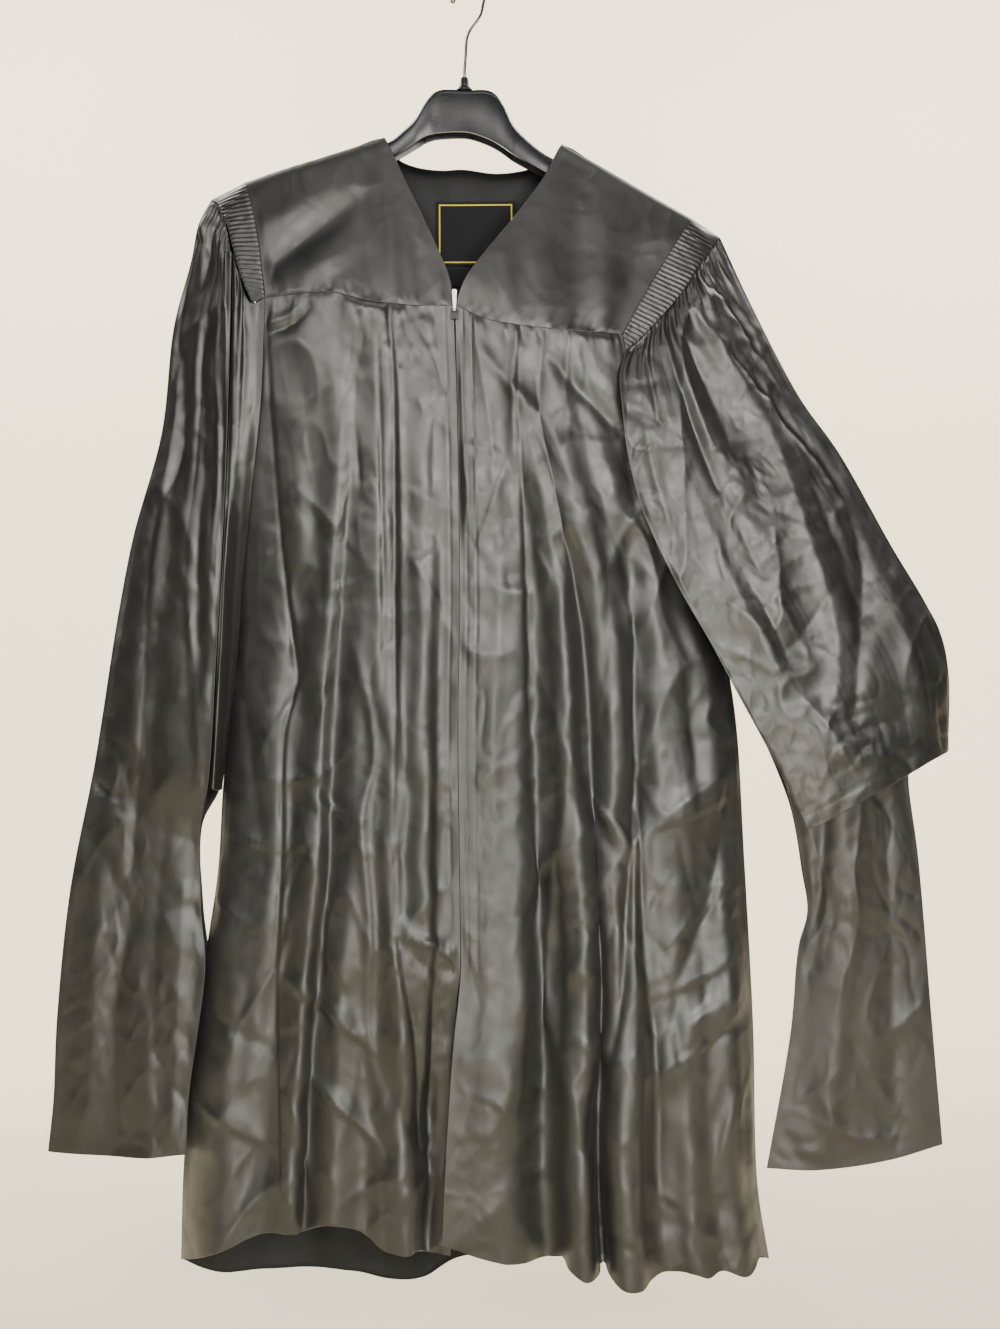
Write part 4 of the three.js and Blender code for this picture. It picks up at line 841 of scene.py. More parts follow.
LEFT_FRONT_PLEATS = [
    [(59, -417, 12, 0.6), (54, -475, 14, 2.2), (60, -600, 16, 2.6), (65, -830, 18, 3.0), (71, -902, 18, 3.2),
     (71, -1034, 20, 3.2), (64, -1157, 20, 3.0), (57, -1269, 16, 1.2)],
    [(131, -925, 8, 1), (153, -952, 10, 3.4), (171, -972, 10, 2.6)],
    [(295, -939, 8, 0.8), (255, -956, 12, 2.8), (212, -972, 8, 1.0)],
    [(300, -1027, 8, 0.8), (262, -1070, 14, 3.4), (218, -1104, 8, 1.0)],
    [(306, -1115, 8, 0.8), (262, -1140, 14, 3.2), (212, -1159, 8, 1.0)],
    [(311, -1170, 8, 1.0), (262, -1215, 14, 3.6), (201, -1247, 8, 1.0)],
    [(10, -658, 10, 0.8), (28, -607, 12, 2.2), (45, -557, 8, 0.8)],
    [(56, -1300, 8, 0.6), (30, -1272, 10, 2.2), (6, -1262, 8, 0.8)],
]
LEFT_FRONT_CREASES = [
    [(59, -418, 3, -1), (54, -475, 3, -1.8), (60, -600, 2.8, -1.8), (65, -741, 2.8, -2.2),
     (72, -969, 3, -2.4),
     (80, -1040, 3, -1.2)],
    [(114, -886, 8, 1.5), (100, -1012, 8, 4), (90, -1152, 8, 4.5), (119, -1273, 9, 4.5), (139, -1457, 9, 3)],
    [(129, -741, 7, -1.5), (136, -935, 8, -4), (173, -1012, 8, -3)],
    [(185, -741, 4.5, -2), (185, -935, 4.5, -4.5), (177, -1051, 5, -4.5), (167, -1177, 6, -4),
     (129, -1322, 7, -3)],
    [(197, -838, 4, -1), (191, -886, 4, -2.6), (197, -1104, 5, -3.4), (209, -1225, 5, -3.4),
     (211, -1370, 6, -2.6)],
    [(143, -1298, 6, -2), (149, -1447, 6, -4)],
    [(296, -880, 8, -1), (274, -1041, 9, -3.4), (232, -1153, 9, -3.6), (235, -1225, 8, -1.6)],
    [(308, -1191, 8, -1.6), (270, -1206, 9, -3.4), (235, -1225, 8, -2)],
    [(300, -1160, 9, 1.2), (262, -1180, 10, 3), (228, -1196, 9, 1.6)],
    [(13, -441, 8, 1), (61, -498, 9, 3.4), (86, -523, 9, 3.4), (114, -587, 10, 2)],
    [(94, -453, 8, -2), (130, -492, 9, -4.5), (169, -529, 8, -3.4)],
    [(64, -1040, 2.5, -0.3), (64, -1160, 2.5, -0.7), (64, -1269, 2.5, -0.3)],
    [(55, -418, 4, 1), (52, -470, 5, 2), (50, -560, 5, 0.8)],
    [(84, -420, 4, -1.2), (82, -450, 5, -2), (78, -520, 5, -0.6)],
    [(112, -424, 4, 1.2), (110, -460, 5, 2), (112, -520, 6, 0.8)],
    [(30, -560, 8, 0.6), (36, -700, 10, 2), (28, -880, 10, 1.8), (34, -1020, 9, 1)],
    [(230, -740, 10, 1), (238, -880, 12, 3), (256, -1000, 12, 1.6)],
    [(150, -600, 8, -1), (156, -720, 9, -2.6), (148, -860, 9, -1.6)],
    [(110, -640, 8, 1), (104, -760, 9, 2.6), (112, -860, 9, 1.5)],
    [(286, -1260, 10, -1), (276, -1350, 11, -3), (284, -1450, 10, -2.4)],
    [(244, -1260, 10, 1), (250, -1370, 11, 3), (246, -1450, 10, 2.4)],
]
# Rows of stitching beside the front edges: how far in, and down to what share of the front's rows
STITCH_ROWS_RIGHT = (9.5,)
STITCH_ROWS_LEFT = (9.0, 20.0)
STITCHED_DOWN_TO = 0.70
# Columns of the fronts stand closer over the last share of the width, beside the front edge
WIDE_COLUMNS, CLOSE_COLUMNS = 118, 22
WIDE_SHARE, CLOSE_SHARE = 0.9, 0.1
CREASE_SHARPNESS = 1.7
PLEAT_SHARPNESS = 1.2
# Over the zip tape the cloth sinks no more than the first depth, and beyond it no more than both
TAPE_COVER = 17 * MM
SINK_AT_TAPE, SINK_BEYOND = 0.2 * MM, 9 * MM
# The groove of a row of stitching, and the cloth that it puckers
GROOVE_DEPTH, GROOVE_WIDTH = 0.55, 1.5
PUCKER_RISE, PUCKER_WIDTH, PUCKER_LENGTH = 0.35, 7, 9
# Folds are wider and lower than the solids', and waver by this many millimetres.
# Columns of the waves: share, size across, size down, seed
FOLD_WIDEN = 1.6
FOLD_LOWER = 0.55
FOLD_WAVE = 9
FOLD_WAVES = [(1, 70, 100, 3.7), (0.5, 50, 40, 8.1)]
# Creases pressed in by handling: half length, lean, share of the rise, bow, width, and their ends' fade
HANDLED_LENGTH = (14, 52)
HANDLED_LEAN = 1.35
HANDLED_SHARE = (0.35, 1)
HANDLED_BOW = 5
HANDLED_WIDTH = (3.0, 6.5)
HANDLED_FADE = 14
HANDLED_SHARPNESS = 1.6


def below(rows):
    """The same edge, lower by a seam's gap"""
    return moved(rows, by_z=-SEAM_GAP)


def handled(places, count, seed, rise=1.3, across=1.0):
    """Short creases pressed in by folding and handling, scattered over a piece"""
    draw = random.Random(seed)
    x, z = places[..., 0] / MM, places[..., 2] / MM
    rows = []
    for _ in range(count):
        middle_x, middle_z = draw.uniform(x.min(), x.max()), draw.uniform(z.min(), z.max())
        length, lean = draw.uniform(*HANDLED_LENGTH), draw.uniform(-HANDLED_LEAN, HANDLED_LEAN) * across
        reach_x, reach_z = length * math.sin(lean), length * math.cos(lean)
        height = draw.choice((-1, 1)) * draw.uniform(*HANDLED_SHARE) * rise
        bow, width = draw.uniform(-HANDLED_BOW, HANDLED_BOW), draw.uniform(*HANDLED_WIDTH)
        rows.append((middle_x - reach_x, middle_z + reach_z, middle_x + reach_x, middle_z - reach_z,
                     bow, width, height * draw.random(), height))
    return fold_rise(rows, places, HANDLED_SHARPNESS, HANDLED_FADE)


def folded(places, rows, facing, fade, clear=0.0):
    """Lifts the folds, softened and a little wavy. Facing is -1 on the front and 1 on the back; cloth
    keeps to its own side."""
    wavy = places.copy()
    wavy[..., 0] += FOLD_WAVE * MM * np.array([
        sum(share * noise.noise(Vector((x / (wide * MM), seed, z / (high * MM))))
            for share, wide, high, seed in FOLD_WAVES)
        for x, _, z in places.reshape(-1, 3)
    ]).reshape(places.shape[:2])
    softer = [(*row[:5], row[5] * FOLD_WIDEN, row[6] * FOLD_LOWER, row[7] * FOLD_LOWER) for row in rows]
    raised = facing * places[..., 1] + fold_rise(softer, wavy) * fade
    places[..., 1] = facing * np.maximum(raised, clear)
    return places


def stitched_in(relief, places, from_edge, rows):
    """A row of stitching draws the cloth in and puckers it a little"""
    for distance in rows:
        for row in range(int(STITCHED_DOWN_TO * len(places)) + 1):
            away = from_edge[row] / MM - distance
            pull = noise.noise(Vector((distance, places[row, 0, 2] / (PUCKER_LENGTH * MM), 2.2)))
            relief[row] -= GROOVE_DEPTH * MM * np.exp(-((away / GROOVE_WIDTH) ** 2))
            relief[row] += PUCKER_RISE * MM * pull * np.exp(-((away / PUCKER_WIDTH) ** 2))


u = np.concatenate([shares(WIDE_COLUMNS) * WIDE_SHARE, WIDE_SHARE + CLOSE_SHARE * shares(CLOSE_COLUMNS)[1:]])
v = shares(240)
fronts = []
for name, node_name, sides, folds, creases, pleats, lean, seed, stitch_rows, flat, area in (
    ("front_right_cloth", "front_panel_right", (RIGHT_YOKE_SEAM, RIGHT_HEM, RIGHT_SIDE, RIGHT_CENTRE),
     RIGHT_FRONT_FOLDS, RIGHT_FRONT_CREASES, RIGHT_FRONT_PLEATS, 0.55, 23.4, STITCH_ROWS_RIGHT,
     (0.43, 1.10), 0.34),
    ("front_left_cloth", "front_panel_left", (LEFT_YOKE_SEAM, LEFT_HEM, LEFT_CENTRE, LEFT_SIDE),
     LEFT_FRONT_FOLDS, LEFT_FRONT_CREASES, LEFT_FRONT_PLEATS, -0.6, 34.6, STITCH_ROWS_LEFT,
     (0.55, 1.09), 0.395),
):
    top, hem, start, end = sides
    at_right = node_name == "front_panel_right"
    across = u if at_right else 1 - u[::-1]
    places = between(below(top), hem, below(start), below(end), across, v)
    places = folded(places, folds, -1, sewn_fade(across, v, 0.08, 0.22), MEETING * MM)
    run = np.linalg.norm(np.diff(places, axis=1), axis=2)
    run = np.pad(np.cumsum(run, axis=1), ((0, 0), (1, 0)))
    from_edge = run[:, -1:] - run if at_right else run
    relief = crease_rise(creases, places, CREASE_SHARPNESS)
    relief += crease_rise(pleats, places, PLEAT_SHARPNESS, one_sided=True)
    relief += crumple(places, seed, [
        (130, 4.0, -lean), (74, 1.6, lean), (42, -0.8, 0.2), (27, 0.55, -1.1 * lean), (15, -0.3, 1.4 * lean),
    ])
    relief += handled(places, 44, seed + 4, 1.0)
    relief += gathers(across, places, [(40, 0.8, 9), (18, 0.9, 26), (8, 1.4, 90)], seed, column=60)
    relief *= sewn_fade(across, v, 0.035, 0.006)
    may_sink = SINK_AT_TAPE + SINK_BEYOND * smooth_step(from_edge - TAPE_COVER, 2 * TAPE_COVER)
    relief = np.maximum(relief, -may_sink)
    stitched_in(relief, places, from_edge, stitch_rows)
    lift(places, relief)
    places[..., 1] = np.minimum(places[..., 1], -MEETING * MM)
    fronts.append((places, from_edge, stitch_rows))
    cloth(name, places, node_name)

# Stitching: rows of black thread beside the front edges, through panel and zip tape.
# Each stitch is 2.4 mm long and lies in the groove that it pulls.
STITCH_LENGTH = 2.4 * MM
STITCH_PITCH = 3.2 * MM
THREAD = 0.28 * MM
FIRST_STITCHED_ROW = 4

thread_material, tree, shader = new_material("black_thread")
twist = bands(tree, 900, 1, "DIAGONAL")
fill(tree, shader, {
    "Base Color": tinted(tree, twist, (0.012, 0.012, 0.012), (0.045, 0.044, 0.042)), "Roughness": 0.55,
})


def stitches(name, lines):
    """One joined mesh of small threads along lines of places"""
    shape = bmesh.new()
    for line, ways in lines:
        run = np.concatenate([[0], np.cumsum(np.linalg.norm(np.diff(line, axis=0), axis=1))])
        for start in np.arange(STITCH_PITCH, run[-1] - STITCH_PITCH, STITCH_PITCH):
            ends = [Vector([np.interp(spot, run, line[:, axis]) for axis in range(3)])
                    for spot in (start, start + STITCH_LENGTH)]
            out = Vector([np.interp(start, run, ways[:, axis]) for axis in range(3)])
            way = ends[1] - ends[0]
            turn = way.to_track_quat("Z", "Y").to_matrix().to_4x4()
            middle = Matrix.Translation((ends[0] + ends[1]) / 2 + out * THREAD * 0.4)
            size = Matrix.Diagonal((THREAD, THREAD, way.length, 1))
            bmesh.ops.create_cube(shape, size=1, matrix=middle @ turn @ size)
    made = mesh_piece(name, shape, thread_material)
    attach(made, "root")


lines = []
for places, from_edge, stitch_rows in fronts:
    ways = outward(places)
    for distance in stitch_rows:
        column = np.argmin(np.abs(from_edge - distance * MM), axis=1)
        kept = np.arange(FIRST_STITCHED_ROW, int(STITCHED_DOWN_TO * len(places)))
        middle = int(np.median(column[kept]))
        spots = []
        for row in kept:
            order = np.argsort(from_edge[row])
            spots.append([np.interp(distance * MM, from_edge[row][order], places[row, order, axis])
                          for axis in range(3)])
        lines.append((np.array(spots), ways[kept, middle]))
stitches("front_stitching", lines)

# Zip: two woven tapes behind the front edges, a slider in worn black enamel and a bright pull tab that
# is flipped up over it. The tab hangs on the slider's pin and is the only piece that swings.
tape_material, tree, shader = new_material("woven_tape")
herringbone = bands(tree, 300, 1.5, "DIAGONAL")
fill(tree, shader, {
    "Base Color": tinted(tree, herringbone, (0.008, 0.008, 0.008), (0.022, 0.022, 0.021)), "Roughness": 0.8,
    "Normal": bump(tree, herringbone, 0.4, 0.3 * MM),
})

cast_metal, tree, shader = new_material("bright_die_casting")
pitted = speckle(tree, 1500, 3)
fill(tree, shader, {
    "Base Color": tinted(tree, pitted, (0.86, 0.86, 0.84), (0.66, 0.66, 0.64)),
    "Roughness": ramp(tree, pitted, 0.3, 0.7, 0.22, 0.42), "Metallic": 1,
})

enamel, tree, shader = new_material("black_enamel")
chipped = speckle(tree, 700, 4)
bare = ramp(tree, chipped, 0.66, 0.72, 0, 1)
fill(tree, shader, {
    "Base Color": tinted(tree, bare, (0.010, 0.010, 0.011), (0.16, 0.16, 0.155)),
    "Roughness": ramp(tree, chipped, 0.3, 0.7, 0.3, 0.45),
})
for zip_node, material in (
    ("zip_tape_right", tape_material), ("zip_tape_left", tape_material), ("zip_pull", cast_metal),
    ("zip_slider", enamel),
):
    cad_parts[zip_node].material_slots[0].material = material

# Back: one wide satin panel gathered into the back yoke, in even soft folds down to the hem.
# Its inside shows below the shorter fronts.
BACK_HEM = [
    (342, MEETING, -1464), (318, 24, -1472), (270, 46, -1478), (205, 38, -1474), (150, 52, -1482),
    (90, 42, -1478), (8, 54, -1482), (-21, 48, -1485), (-51, 40, -1501), (-85, 52, -1509),
    (-135, 44, -1496), (-194, 54, -1495), (-241, 44, -1494), (-282, 40, -1496), (-306, 24, -1484),
    (-326, MEETING, -1465),
]
BACK_FOLDS = [
    (150, -425, 262, -1470, 0, 17, 5, 12), (112, -425, 196, -1470, -4, 16, 6, 14),
    (74, -425, 130, -1470, 3, 15, 5, 13), (36, -425, 66, -1470, 0, 15, 6, 14),
    (-2, -425, 4, -1470, -4, 15, 5, 12), (-40, -425, -58, -1470, 4, 15, 6, 14),
    (-78, -425, -122, -1470, 0, 15, 5, 13), (-116, -425, -186, -1470, -3, 16, 6, 13),
    (-154, -425, -244, -1470, 3, 17, 5, 12),
]
BACK_CREASES = [
    [(206, -470, 8, -1), (226, -800, 10, -3), (236, -1100, 10, -4), (244, -1460, 10, -3)],
    [(56, -430, 8, -1), (88, -760, 10, -3), (104, -1100, 10, -4), (100, -1460, 10, -3)],
    [(-96, -430, 8, -1), (-130, -800, 10, -3), (-150, -1200, 10, -4), (-160, -1460, 10, -3)],
    [(-150, -600, 9, 1), (-60, -720, 10, 3), (20, -760, 9, 1)],
    [(140, -700, 9, 1), (60, -860, 10, 3), (-10, -920, 9, 1)],
]


def dressed(u, v, sides, facing, folds, creases, fade, ends, ridges, marks=None, pulls=None, clear=0.0,
            groove=0.0):
    """The face of a panel between its top, foot, start and end. Fade and ends say how near them its folds
    and its relief die out. Ridges, marks and pulls are for crumple, handled and gathers."""
    places = folded(between(*sides, u, v), folds, facing, sewn_fade(u, v, *fade), clear)
    relief = crease_rise(creases, places, CREASE_SHARPNESS) + crumple(places, *ridges)
    if marks:
        relief += handled(places, *marks)
    if pulls:
        relief += gathers(u, places, *pulls)
    lift(places, relief * sewn_fade(u, v, *ends) - groove)
    return places


places = dressed(
    shares(130), shares(190),
    (below(BACK_YOKE_SEAM), BACK_HEM, [*below(BACK_YOKE_SEAM[:1]), *mirrored(LEFT_SIDE)[1:]],
     [*below(BACK_YOKE_SEAM[-1:]), *mirrored(RIGHT_SIDE)[1:]]),
    1, BACK_FOLDS, BACK_CREASES, fade=(0.08, 0.05), ends=(0.035, 0.006), clear=MEETING * MM,
    ridges=(41.5, [(120, 3.2, 0.5), (66, -1.8, -0.5), (34, 1.0, 0.3), (18, -0.4, -0.7)]),
    marks=(70, 41), pulls=([(80, 1.0, 12), (40, 1.3, 36), (16, 1.6, 110)], 43.1),
)
places[..., 1] = np.maximum(places[..., 1], MEETING * MM)
cloth("back_cloth", places, "back_panel")

# Sleeve of the right arm: a long layer turned to the front, which hides most of the narrow strip
# with the wrist hem, and a back. All three are gathered into the shoulder band.
RIGHT_SLEEVE_OUTER = [
    (-292, -MEETING, -263), (-306, -MEETING, -290), (-314, -MEETING, -330), (-334, -MEETING, -406),
    (-348, -MEETING, -527), (-380, -MEETING, -644), (-398, -MEETING, -737), (-424, -MEETING, -902),
    (-452, -MEETING, -1047), (-467, -MEETING, -1193), (-471, -MEETING, -1286), (-477, -MEETING, -1343),
]
RIGHT_SLEEVE_FOLD = [
    (-263, -37, -331.5), (-264, -44, -444), (-270, -44, -609), (-279, -42, -774), (-290, -34, -925),
    (-302, -16, -972), (-301, -16, -1062), (-295, -22, -1127), (-313, -24, -1275), (-316, -24, -1340),
]
RIGHT_SLEEVE_FOOT = [
    (-477, -MEETING, -1343), (-440, -9, -1344), (-370, -20, -1344), (-316, -24, -1340),
]
RIGHT_SLEEVE_BACK_FOOT = [
    (-316, -20.5, -1340), (-370, -13, -1344), (-440, -2, -1344), (-477, MEETING, -1343),
]
RIGHT_CUFF = [
    (-288.4, -30, -925), (-284, -33, -929), (-277, -14, -931),
]
RIGHT_INNER = [
    (-224.6, -47, -384.2), (-230, -40.4, -500), (-243.2, -28, -610), (-255.8, -13.6, -715),
    (-258.5, -12.4, -760), (-277, -14, -931),
]
RIGHT_SLEEVE_BACK_INNER = [
    (-238.5, 40, -391), (-238, 34, -500), (-249, 22, -610), (-263.5, 8, -715), (-280.5, 4, -925),
    (-302, -4, -972), (-301, -12.5, -1062), (-295, -18.5, -1127), (-313, -20.5, -1275),
    (-316, -20.5, -1340),
]
RIGHT_DROP_FOLDS = [
    (-298, -300, -316, -700, 0, 7, 5, 3), (-287, -300, -300, -760, 0, 5, -4, -6),
    (-277, -310, -284, -900, 0, 6, 5, 6), (-268, -330, -272, -620, 0, 4, -3, -4),
    (-322, -400, -352, -900, 0, 8, -5, -6), (-338, -500, -388, -1000, 0, 12, 4, 6),
    (-330, -900, -352, -1330, 0, 14, 4, 5), (-372, -900, -410, -1335, 0, 13, -4, -5),
]
RIGHT_STRIP_FOLDS = [
    (-253, -370, -258, -620, 0, 5, 4, 4), (-243, -392, -248, -560, 0, 4, 3, 3),
    (-264, -640, -281, -925, 0, 6, 4, 4),
]
SLEEVE_BACK_FOLDS = [
    (262, -360, 340, -800, 0, 14, 5, 5), (232, -400, 286, -700, 0, 12, 5, 4),
    (300, -420, 420, -800, 0, 14, -4, -5), (-268, -330, -300, -900, 0, 10, 5, 5),
    (-290, -330, -345, -1000, 0, 10, -4, -5), (-310, -360, -390, -1100, 0, 12, 5, 5),
]
RIGHT_DROP_CREASES = [
    [(-308, -314, 6, -2), (-324, -381, 6, -3), (-324, -560, 7, -3.4), (-350, -620, 7, -3.4),
     (-366, -839, 8, -3),
     (-379, -1019, 9, -2)],
    [(-316, -330, 5, 1.6), (-332, -520, 6, 2.4), (-356, -690, 8, 2.4), (-372, -900, 9, 1.6)],
    [(-296, -420, 5, -1.4), (-304, -560, 5, -2), (-316, -700, 6, -1.6), (-312, -820, 7, -1)],
    [(-316, -690, 6, 1), (-306, -800, 7, 2.6), (-298, -920, 7, 1.6)],
    [(-283, -400, 4, -1.2), (-284, -560, 4, -1.8), (-286, -690, 5, -1.2)],
    [(-400, -900, 12, 1), (-420, -1100, 14, 2.6), (-430, -1300, 14, 2)],
    [(-340, -960, 9, -1), (-352, -1120, 11, -2.4), (-346, -1320, 12, -2)],
    [(-320, -1040, 8, 1), (-326, -1180, 10, 2.4), (-330, -1320, 10, 1.6)],
    [(-380, -1060, 10, -1), (-400, -1200, 12, -2.2), (-392, -1330, 12, -1.6)],
]
band_sleeve = moved(RIGHT_BAND_SLEEVE, -1.2, 0, -SEAM_GAP)
places = dressed(
    shares(86), shares(236),
    ([RIGHT_SLEEVE_OUTER[0], *band_sleeve[1:3], RIGHT_SLEEVE_FOLD[0]], RIGHT_SLEEVE_FOOT,
     RIGHT_SLEEVE_OUTER, RIGHT_SLEEVE_FOLD),
    -1, RIGHT_DROP_FOLDS, RIGHT_DROP_CREASES, fade=(0.12, 0.03), ends=(0.06, 0.006),
    ridges=(53.8, [(110, 2.8, 0.3), (60, -1.5, -0.4), (32, 0.8, 0.6), (18, -0.4, -0.5)]),
    marks=(36, 53, 1.0), pulls=([(22, 1.8, 22), (11, 2.3, 60), (5, 2.0, 190)], 55.2),
)
cloth("sleeve_right_drop_cloth", places, "sleeve_right_drop")

fold_tucked = moved(RIGHT_SLEEVE_FOLD[:4], 1.5, 2)
places = dressed(
    shares(36), shares(150),
    ([fold_tucked[0], (-253.2, -41.5, -360), (-239.6, -45.6, -389.4), RIGHT_INNER[0]], RIGHT_CUFF,
     [*fold_tucked, RIGHT_CUFF[0]], RIGHT_INNER),
    -1, RIGHT_STRIP_FOLDS, [], fade=(0.2, 0.05), ends=(0.16, 0.01),
    ridges=(58.1, [(60, 1.2, 0.3), (28, -0.6, -0.4)]), pulls=([(7, 2.2, 34), (4, 3.2, 100)], 57.2),
)
cloth("sleeve_right_front_cloth", places, "sleeve_right_front")

places = dressed(
    shares(76), shares(160),
    ([RIGHT_SLEEVE_BACK_INNER[0], *mirrored(band_sleeve)[::-1][1:-1], *mirrored(RIGHT_SLEEVE_OUTER[:1])],
     RIGHT_SLEEVE_BACK_FOOT, RIGHT_SLEEVE_BACK_INNER, mirrored(RIGHT_SLEEVE_OUTER)),
    1, SLEEVE_BACK_FOLDS, [], fade=(0.15, 0.05), ends=(0.08, 0.008, 0.02),
    ridges=(62.4, [(100, 2.4, 0.4), (52, -1.3, -0.4), (28, 0.7, 0.6)]),
    marks=(24, 62, 1.0), pulls=([(26, 1.8, 26), (13, 2.2, 80), (6, 2.2, 220)], 61.2),
)
cloth("sleeve_right_back_cloth", places, "sleeve_right_back")

# Sleeve of the left arm: a wide front, folded under along its inner edge and ending in the wrist hem,
# the closed drop that hangs out below it, and a back that runs the whole way down.
LEFT_SLEEVE_OUTER = [
    (286.6, -MEETING, -305.6), (321, -MEETING, -380), (377, -MEETING, -487), (421, -MEETING, -549),
    (482, -MEETING, -657), (518, -MEETING, -717), (538, -MEETING, -758), (546, -MEETING, -800),
    (546, -MEETING, -888),
]
LEFT_SLEEVE_FOLD = [
    (175.4, -44, -442.4), (168, -56, -470), (170, -66, -507), (177, -70, -566), (193, -72, -624),
    (228, -70, -699), (267, -66, -766), (299, -64, -825), (338, -60, -896), (364, -54, -947),
]
LEFT_CUFF = [
    (364, -54, -947), (376, -58, -970), (415, -60, -951), (448, -56, -933), (490, -46, -912),
    (522, -30, -895), (546, -MEETING, -888),
]
LEFT_SLEEVE_BACK_OUTER = [
    *mirrored(LEFT_SLEEVE_OUTER[:7]), (540, MEETING, -805), (512, MEETING, -868), (498, MEETING, -920),
    (511, MEETING, -1010), (528, MEETING, -1207), (539, MEETING, -1335),
]
LEFT_SLEEVE_BACK_INNER = [
    (178, 42, -443), (194.5, 36, -520), (234.5, 24, -620), (270.5, 6, -700), (294, 3, -775),
    (330, MEETING, -860), (366, MEETING, -950), (380, MEETING, -1026), (386, MEETING, -1071),
    (376, MEETING, -1110), (367, MEETING, -1207), (340, MEETING, -1362),
]
LEFT_DROP_TOP = [
    (352, -9, -900), (385, -26, -884), (440, -28, -872), (500, -9, -880),
]
LEFT_DROP_INNER = [
    (352, -9, -900), (367, -14, -956), (380, -10, -1026), (386, -6, -1071), (376, -4, -1110),
    (367, -MEETING, -1207), (340, -MEETING, -1362),
]
LEFT_DROP_OUTER = [
    (500, -9, -880), (499, -7, -920), (511, -4, -1010), (528, -MEETING, -1207), (539, -MEETING, -1335),
]
LEFT_DROP_FOOT = [
    (340, -MEETING, -1362), (396, -9, -1362), (475, -9, -1351), (539, -MEETING, -1335),
]
# Cloth turned under behind the folded edge. Columns: outwards, behind
SLEEVE_RETURN = [(26, 9), (9, 7.6), (0.6, 4.2), (0, 0)]
LEFT_SLEEVE_FOLDS = [
    (187, -440, 200, -590, -3, 7, 6, 2), (203, -422, 232, -600, -6, 7, 7, 1),
    (222, -404, 262, -560, -8, 8, 6, 1), (237, -384, 318, -640, -12, 9, 7, 2),
    (254, -360, 330, -520, -8, 8, 6, 1), (268, -336, 402, -660, -10, 9, 6, 2),
    (300, -520, 380, -760, 6, 16, -4, -6), (360, -640, 452, -800, 8, 16, 5, 6),
    (300, -740, 400, -940, 4, 14, 5, 5), (440, -720, 486, -900, 0, 14, -5, -6),
]
LEFT_DROP_FOLDS = [
    (399, -960, 404, -1040, 0, 7, -8, -6), (420, -960, 398, -1340, 8, 14, 5, 4),
    (462, -930, 480, -1340, 0, 14, -4, -4),
]
LEFT_SLEEVE_CREASES = [
    [(233, -421, 3, -1.5), (248, -440, 6, -6), (275, -500, 9, -5), (290, -540, 8, -1.5)],
    [(216, -415, 3, -1.5), (239, -497, 5, -5.5), (262, -560, 7, -6), (277, -598, 7, -3)],
    [(258, -355, 3, -1.5), (299, -391, 6, -5.5), (334, -448, 8, -5), (352, -480, 8, -1.5)],
    [(294, -443, 6, -2), (349, -500, 9, -6), (419, -587, 11, -7), (443, -683, 11, -5), (440, -760, 10, -2)],
    [(198, -450, 4, -1.5), (205, -490, 5, -4), (214, -540, 6, -2)],
    [(225, -418, 4, 1.5), (245, -480, 6, 3), (268, -545, 7, 2)],
    [(246, -390, 4, 1.5), (280, -430, 7, 3.5), (310, -480, 9, 2)],
    [(350, -492, 8, -1), (400, -623, 10, -3), (435, -732, 10, -3.2), (427, -840, 9, -1.6)],
    [(330, -500, 9, 1), (376, -640, 10, 2.8), (408, -750, 10, 2.4), (404, -850, 9, 1)],
    [(314, -704, 5, -0.8), (334, -744, 5, -2), (352, -786, 5, -0.8)],
    [(330, -700, 5, 0.8), (352, -738, 5, 2), (372, -772, 5, 0.8)],
    [(300, -640, 6, -0.8), (324, -690, 6, -1.8), (340, -716, 5, -0.6)],
    [(524, -818, 6, -1.5), (530, -850, 6, -3), (534, -880, 5, -1.5)],
    [(250, -600, 8, 1), (292, -700, 9, 2.4), (344, -800, 9, 1.4)],
    [(446, -640, 10, 1), (480, -720, 11, 2.8), (500, -810, 10, 1.4)],
    [(380, -820, 8, -0.8), (420, -850, 9, -2.4), (470, -858, 8, -1)],
    [(360, -860, 8, 1), (410, -890, 9, 2.2), (460, -890, 8, 1)],
    [(190, -500, 6, -1), (206, -580, 7, -2.4), (232, -660, 7, -1.2)],
]
LEFT_DROP_CREASES = [
    [(401, -950, 6, -2), (398, -1040, 8, -4), (392, -1130, 9, -2)],
    [(420, -950, 8, 1.5), (430, -1090, 12, 3), (416, -1240, 13, 2.4), (404, -1350, 12, 1.6)],
    [(470, -940, 9, -1), (478, -1100, 12, -2.6), (486, -1330, 13, -2)],
    [(452, -1240, 10, 1), (480, -1290, 11, 2.2), (516, -1310, 10, 1)],
]
# The cuff's row of stitches, as a share of the sleeve's length, and the groove that it pulls
CUFF_STITCHED = 0.972
CUFF_GROOVE, CUFF_GROOVE_WIDTH = 0.6 * MM, 0.004
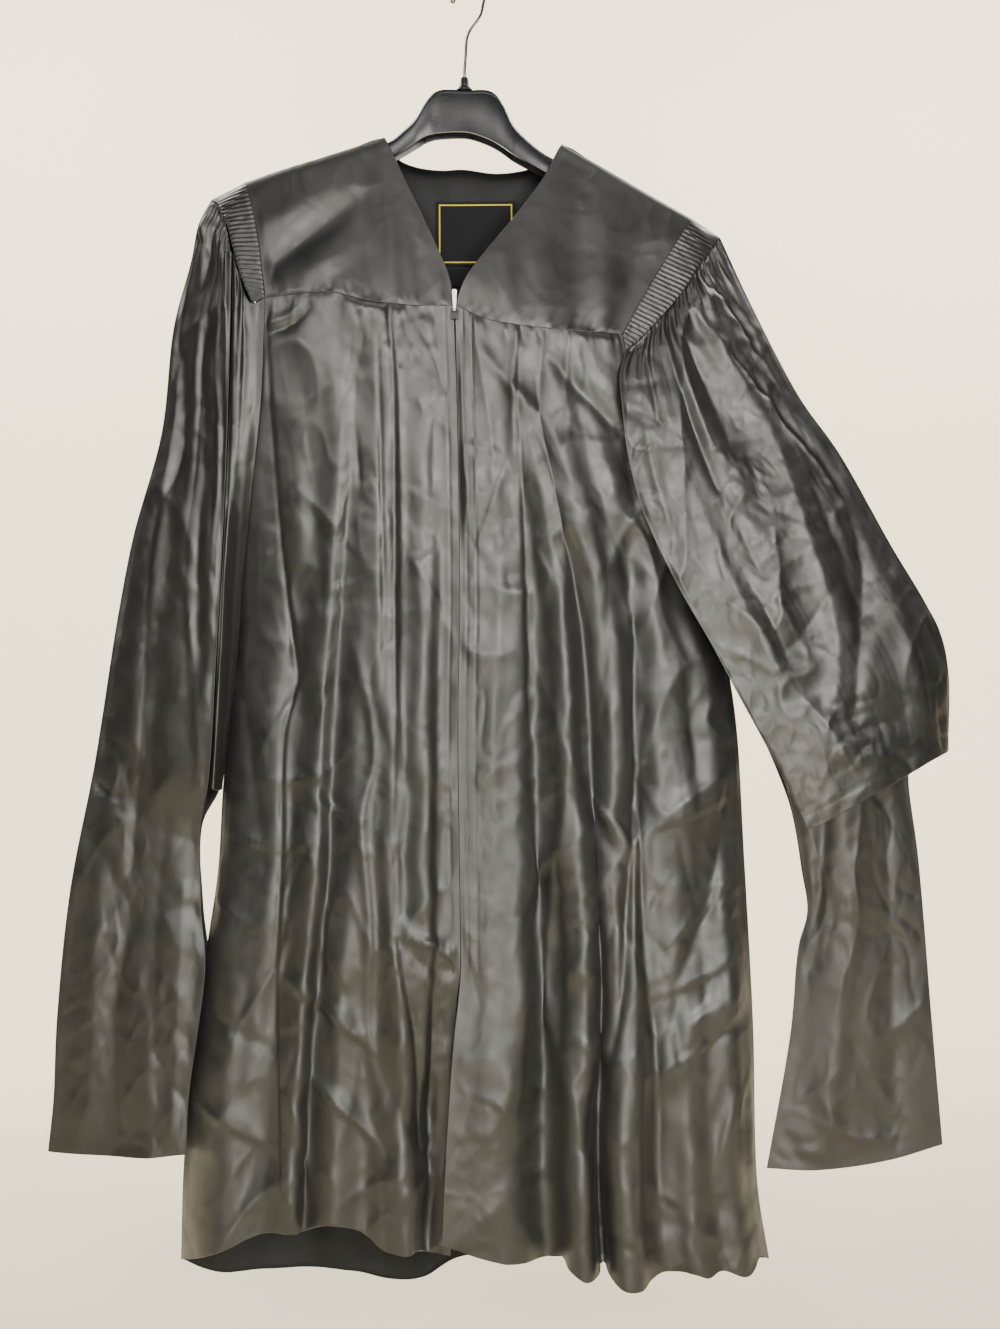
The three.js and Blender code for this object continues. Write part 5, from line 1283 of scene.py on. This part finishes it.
# Columns of the cloth turned under, and the shares of its reach, outwards and behind, at the sleeve's top
RETURN_COLUMNS = 14
RETURN_LEAST = (0.25, 0.4)
RETURN_GROWTH = 0.1
band_sleeve = moved(LEFT_BAND_SLEEVE, SEAM_GAP, 0, -SEAM_GAP)
v = shares(176)
face = dressed(
    shares(146), v,
    ([LEFT_SLEEVE_FOLD[0], *band_sleeve[1:-1][::-1], LEFT_SLEEVE_OUTER[0]], LEFT_CUFF,
     LEFT_SLEEVE_FOLD, LEFT_SLEEVE_OUTER),
    -1, LEFT_SLEEVE_FOLDS, LEFT_SLEEVE_CREASES, fade=(0.08, 0.03), ends=(0.04, 0.006),
    ridges=(71.3, [
        (130, 3.4, -0.5), (70, 1.5, 0.9), (42, -0.9, -1.0), (25, 0.6, 0.5), (14, -0.3, -0.4),
    ], 0.8),
    marks=(46, 71, 1.2, 1.15), pulls=([(40, 2.4, 20), (19, 3.6, 48), (10, 2.6, 100), (5, 1.2, 180)], 73.9),
    groove=CUFF_GROOVE * np.exp(-((v[:, None] - CUFF_STITCHED) / CUFF_GROOVE_WIDTH) ** 2),
)
growth = smooth_step(v, RETURN_GROWTH)[:, None]
steps = range(len(SLEEVE_RETURN))
spots = np.linspace(0, steps[-1], RETURN_COLUMNS + 1)[:-1]
turned = np.repeat(face[:, :1], RETURN_COLUMNS, axis=1)
for axis, least in enumerate(RETURN_LEAST):
    reach = np.interp(spots, steps, [row[axis] for row in SLEEVE_RETURN])[None]
    turned[..., axis] += MM * reach * (least + (1 - least) * growth)
cuff_row = int(np.argmin(np.abs(v - CUFF_STITCHED)))
stitches("cuff_stitching", [(face[cuff_row], outward(face)[cuff_row])])
cloth("sleeve_left_front_cloth", np.concatenate([turned, face], axis=1), "sleeve_left_front")

places = dressed(
    shares(70), shares(120), (LEFT_DROP_TOP, LEFT_DROP_FOOT, LEFT_DROP_INNER, LEFT_DROP_OUTER),
    -1, LEFT_DROP_FOLDS, LEFT_DROP_CREASES, fade=(0.15, 0.05, 0.05), ends=(0.07, 0.03, 0.03),
    ridges=(81.7, [(90, 2.2, 0.4), (48, -1.2, -0.5), (26, 0.7, 0.5), (15, -0.35, -0.4)]), marks=(24, 81, 1.0),
)
cloth("sleeve_left_drop_cloth", places, "sleeve_left_drop")

places = dressed(
    shares(84), shares(170),
    ([LEFT_SLEEVE_BACK_OUTER[0], *mirrored(band_sleeve)[1:-1], LEFT_SLEEVE_BACK_INNER[0]],
     mirrored(LEFT_DROP_FOOT)[::-1], LEFT_SLEEVE_BACK_OUTER, LEFT_SLEEVE_BACK_INNER),
    1, SLEEVE_BACK_FOLDS, [], fade=(0.15, 0.05), ends=(0.06, 0.008, 0.02),
    ridges=(92.6, [(100, 2.6, -0.5), (52, -1.3, 0.6), (28, 0.7, -0.4)]),
    marks=(28, 92, 1.0), pulls=([(38, 1.8, 24), (20, 2.4, 60), (9, 2.6, 150)], 91.2),
)
cloth("sleeve_left_back_cloth", places, "sleeve_left_back")
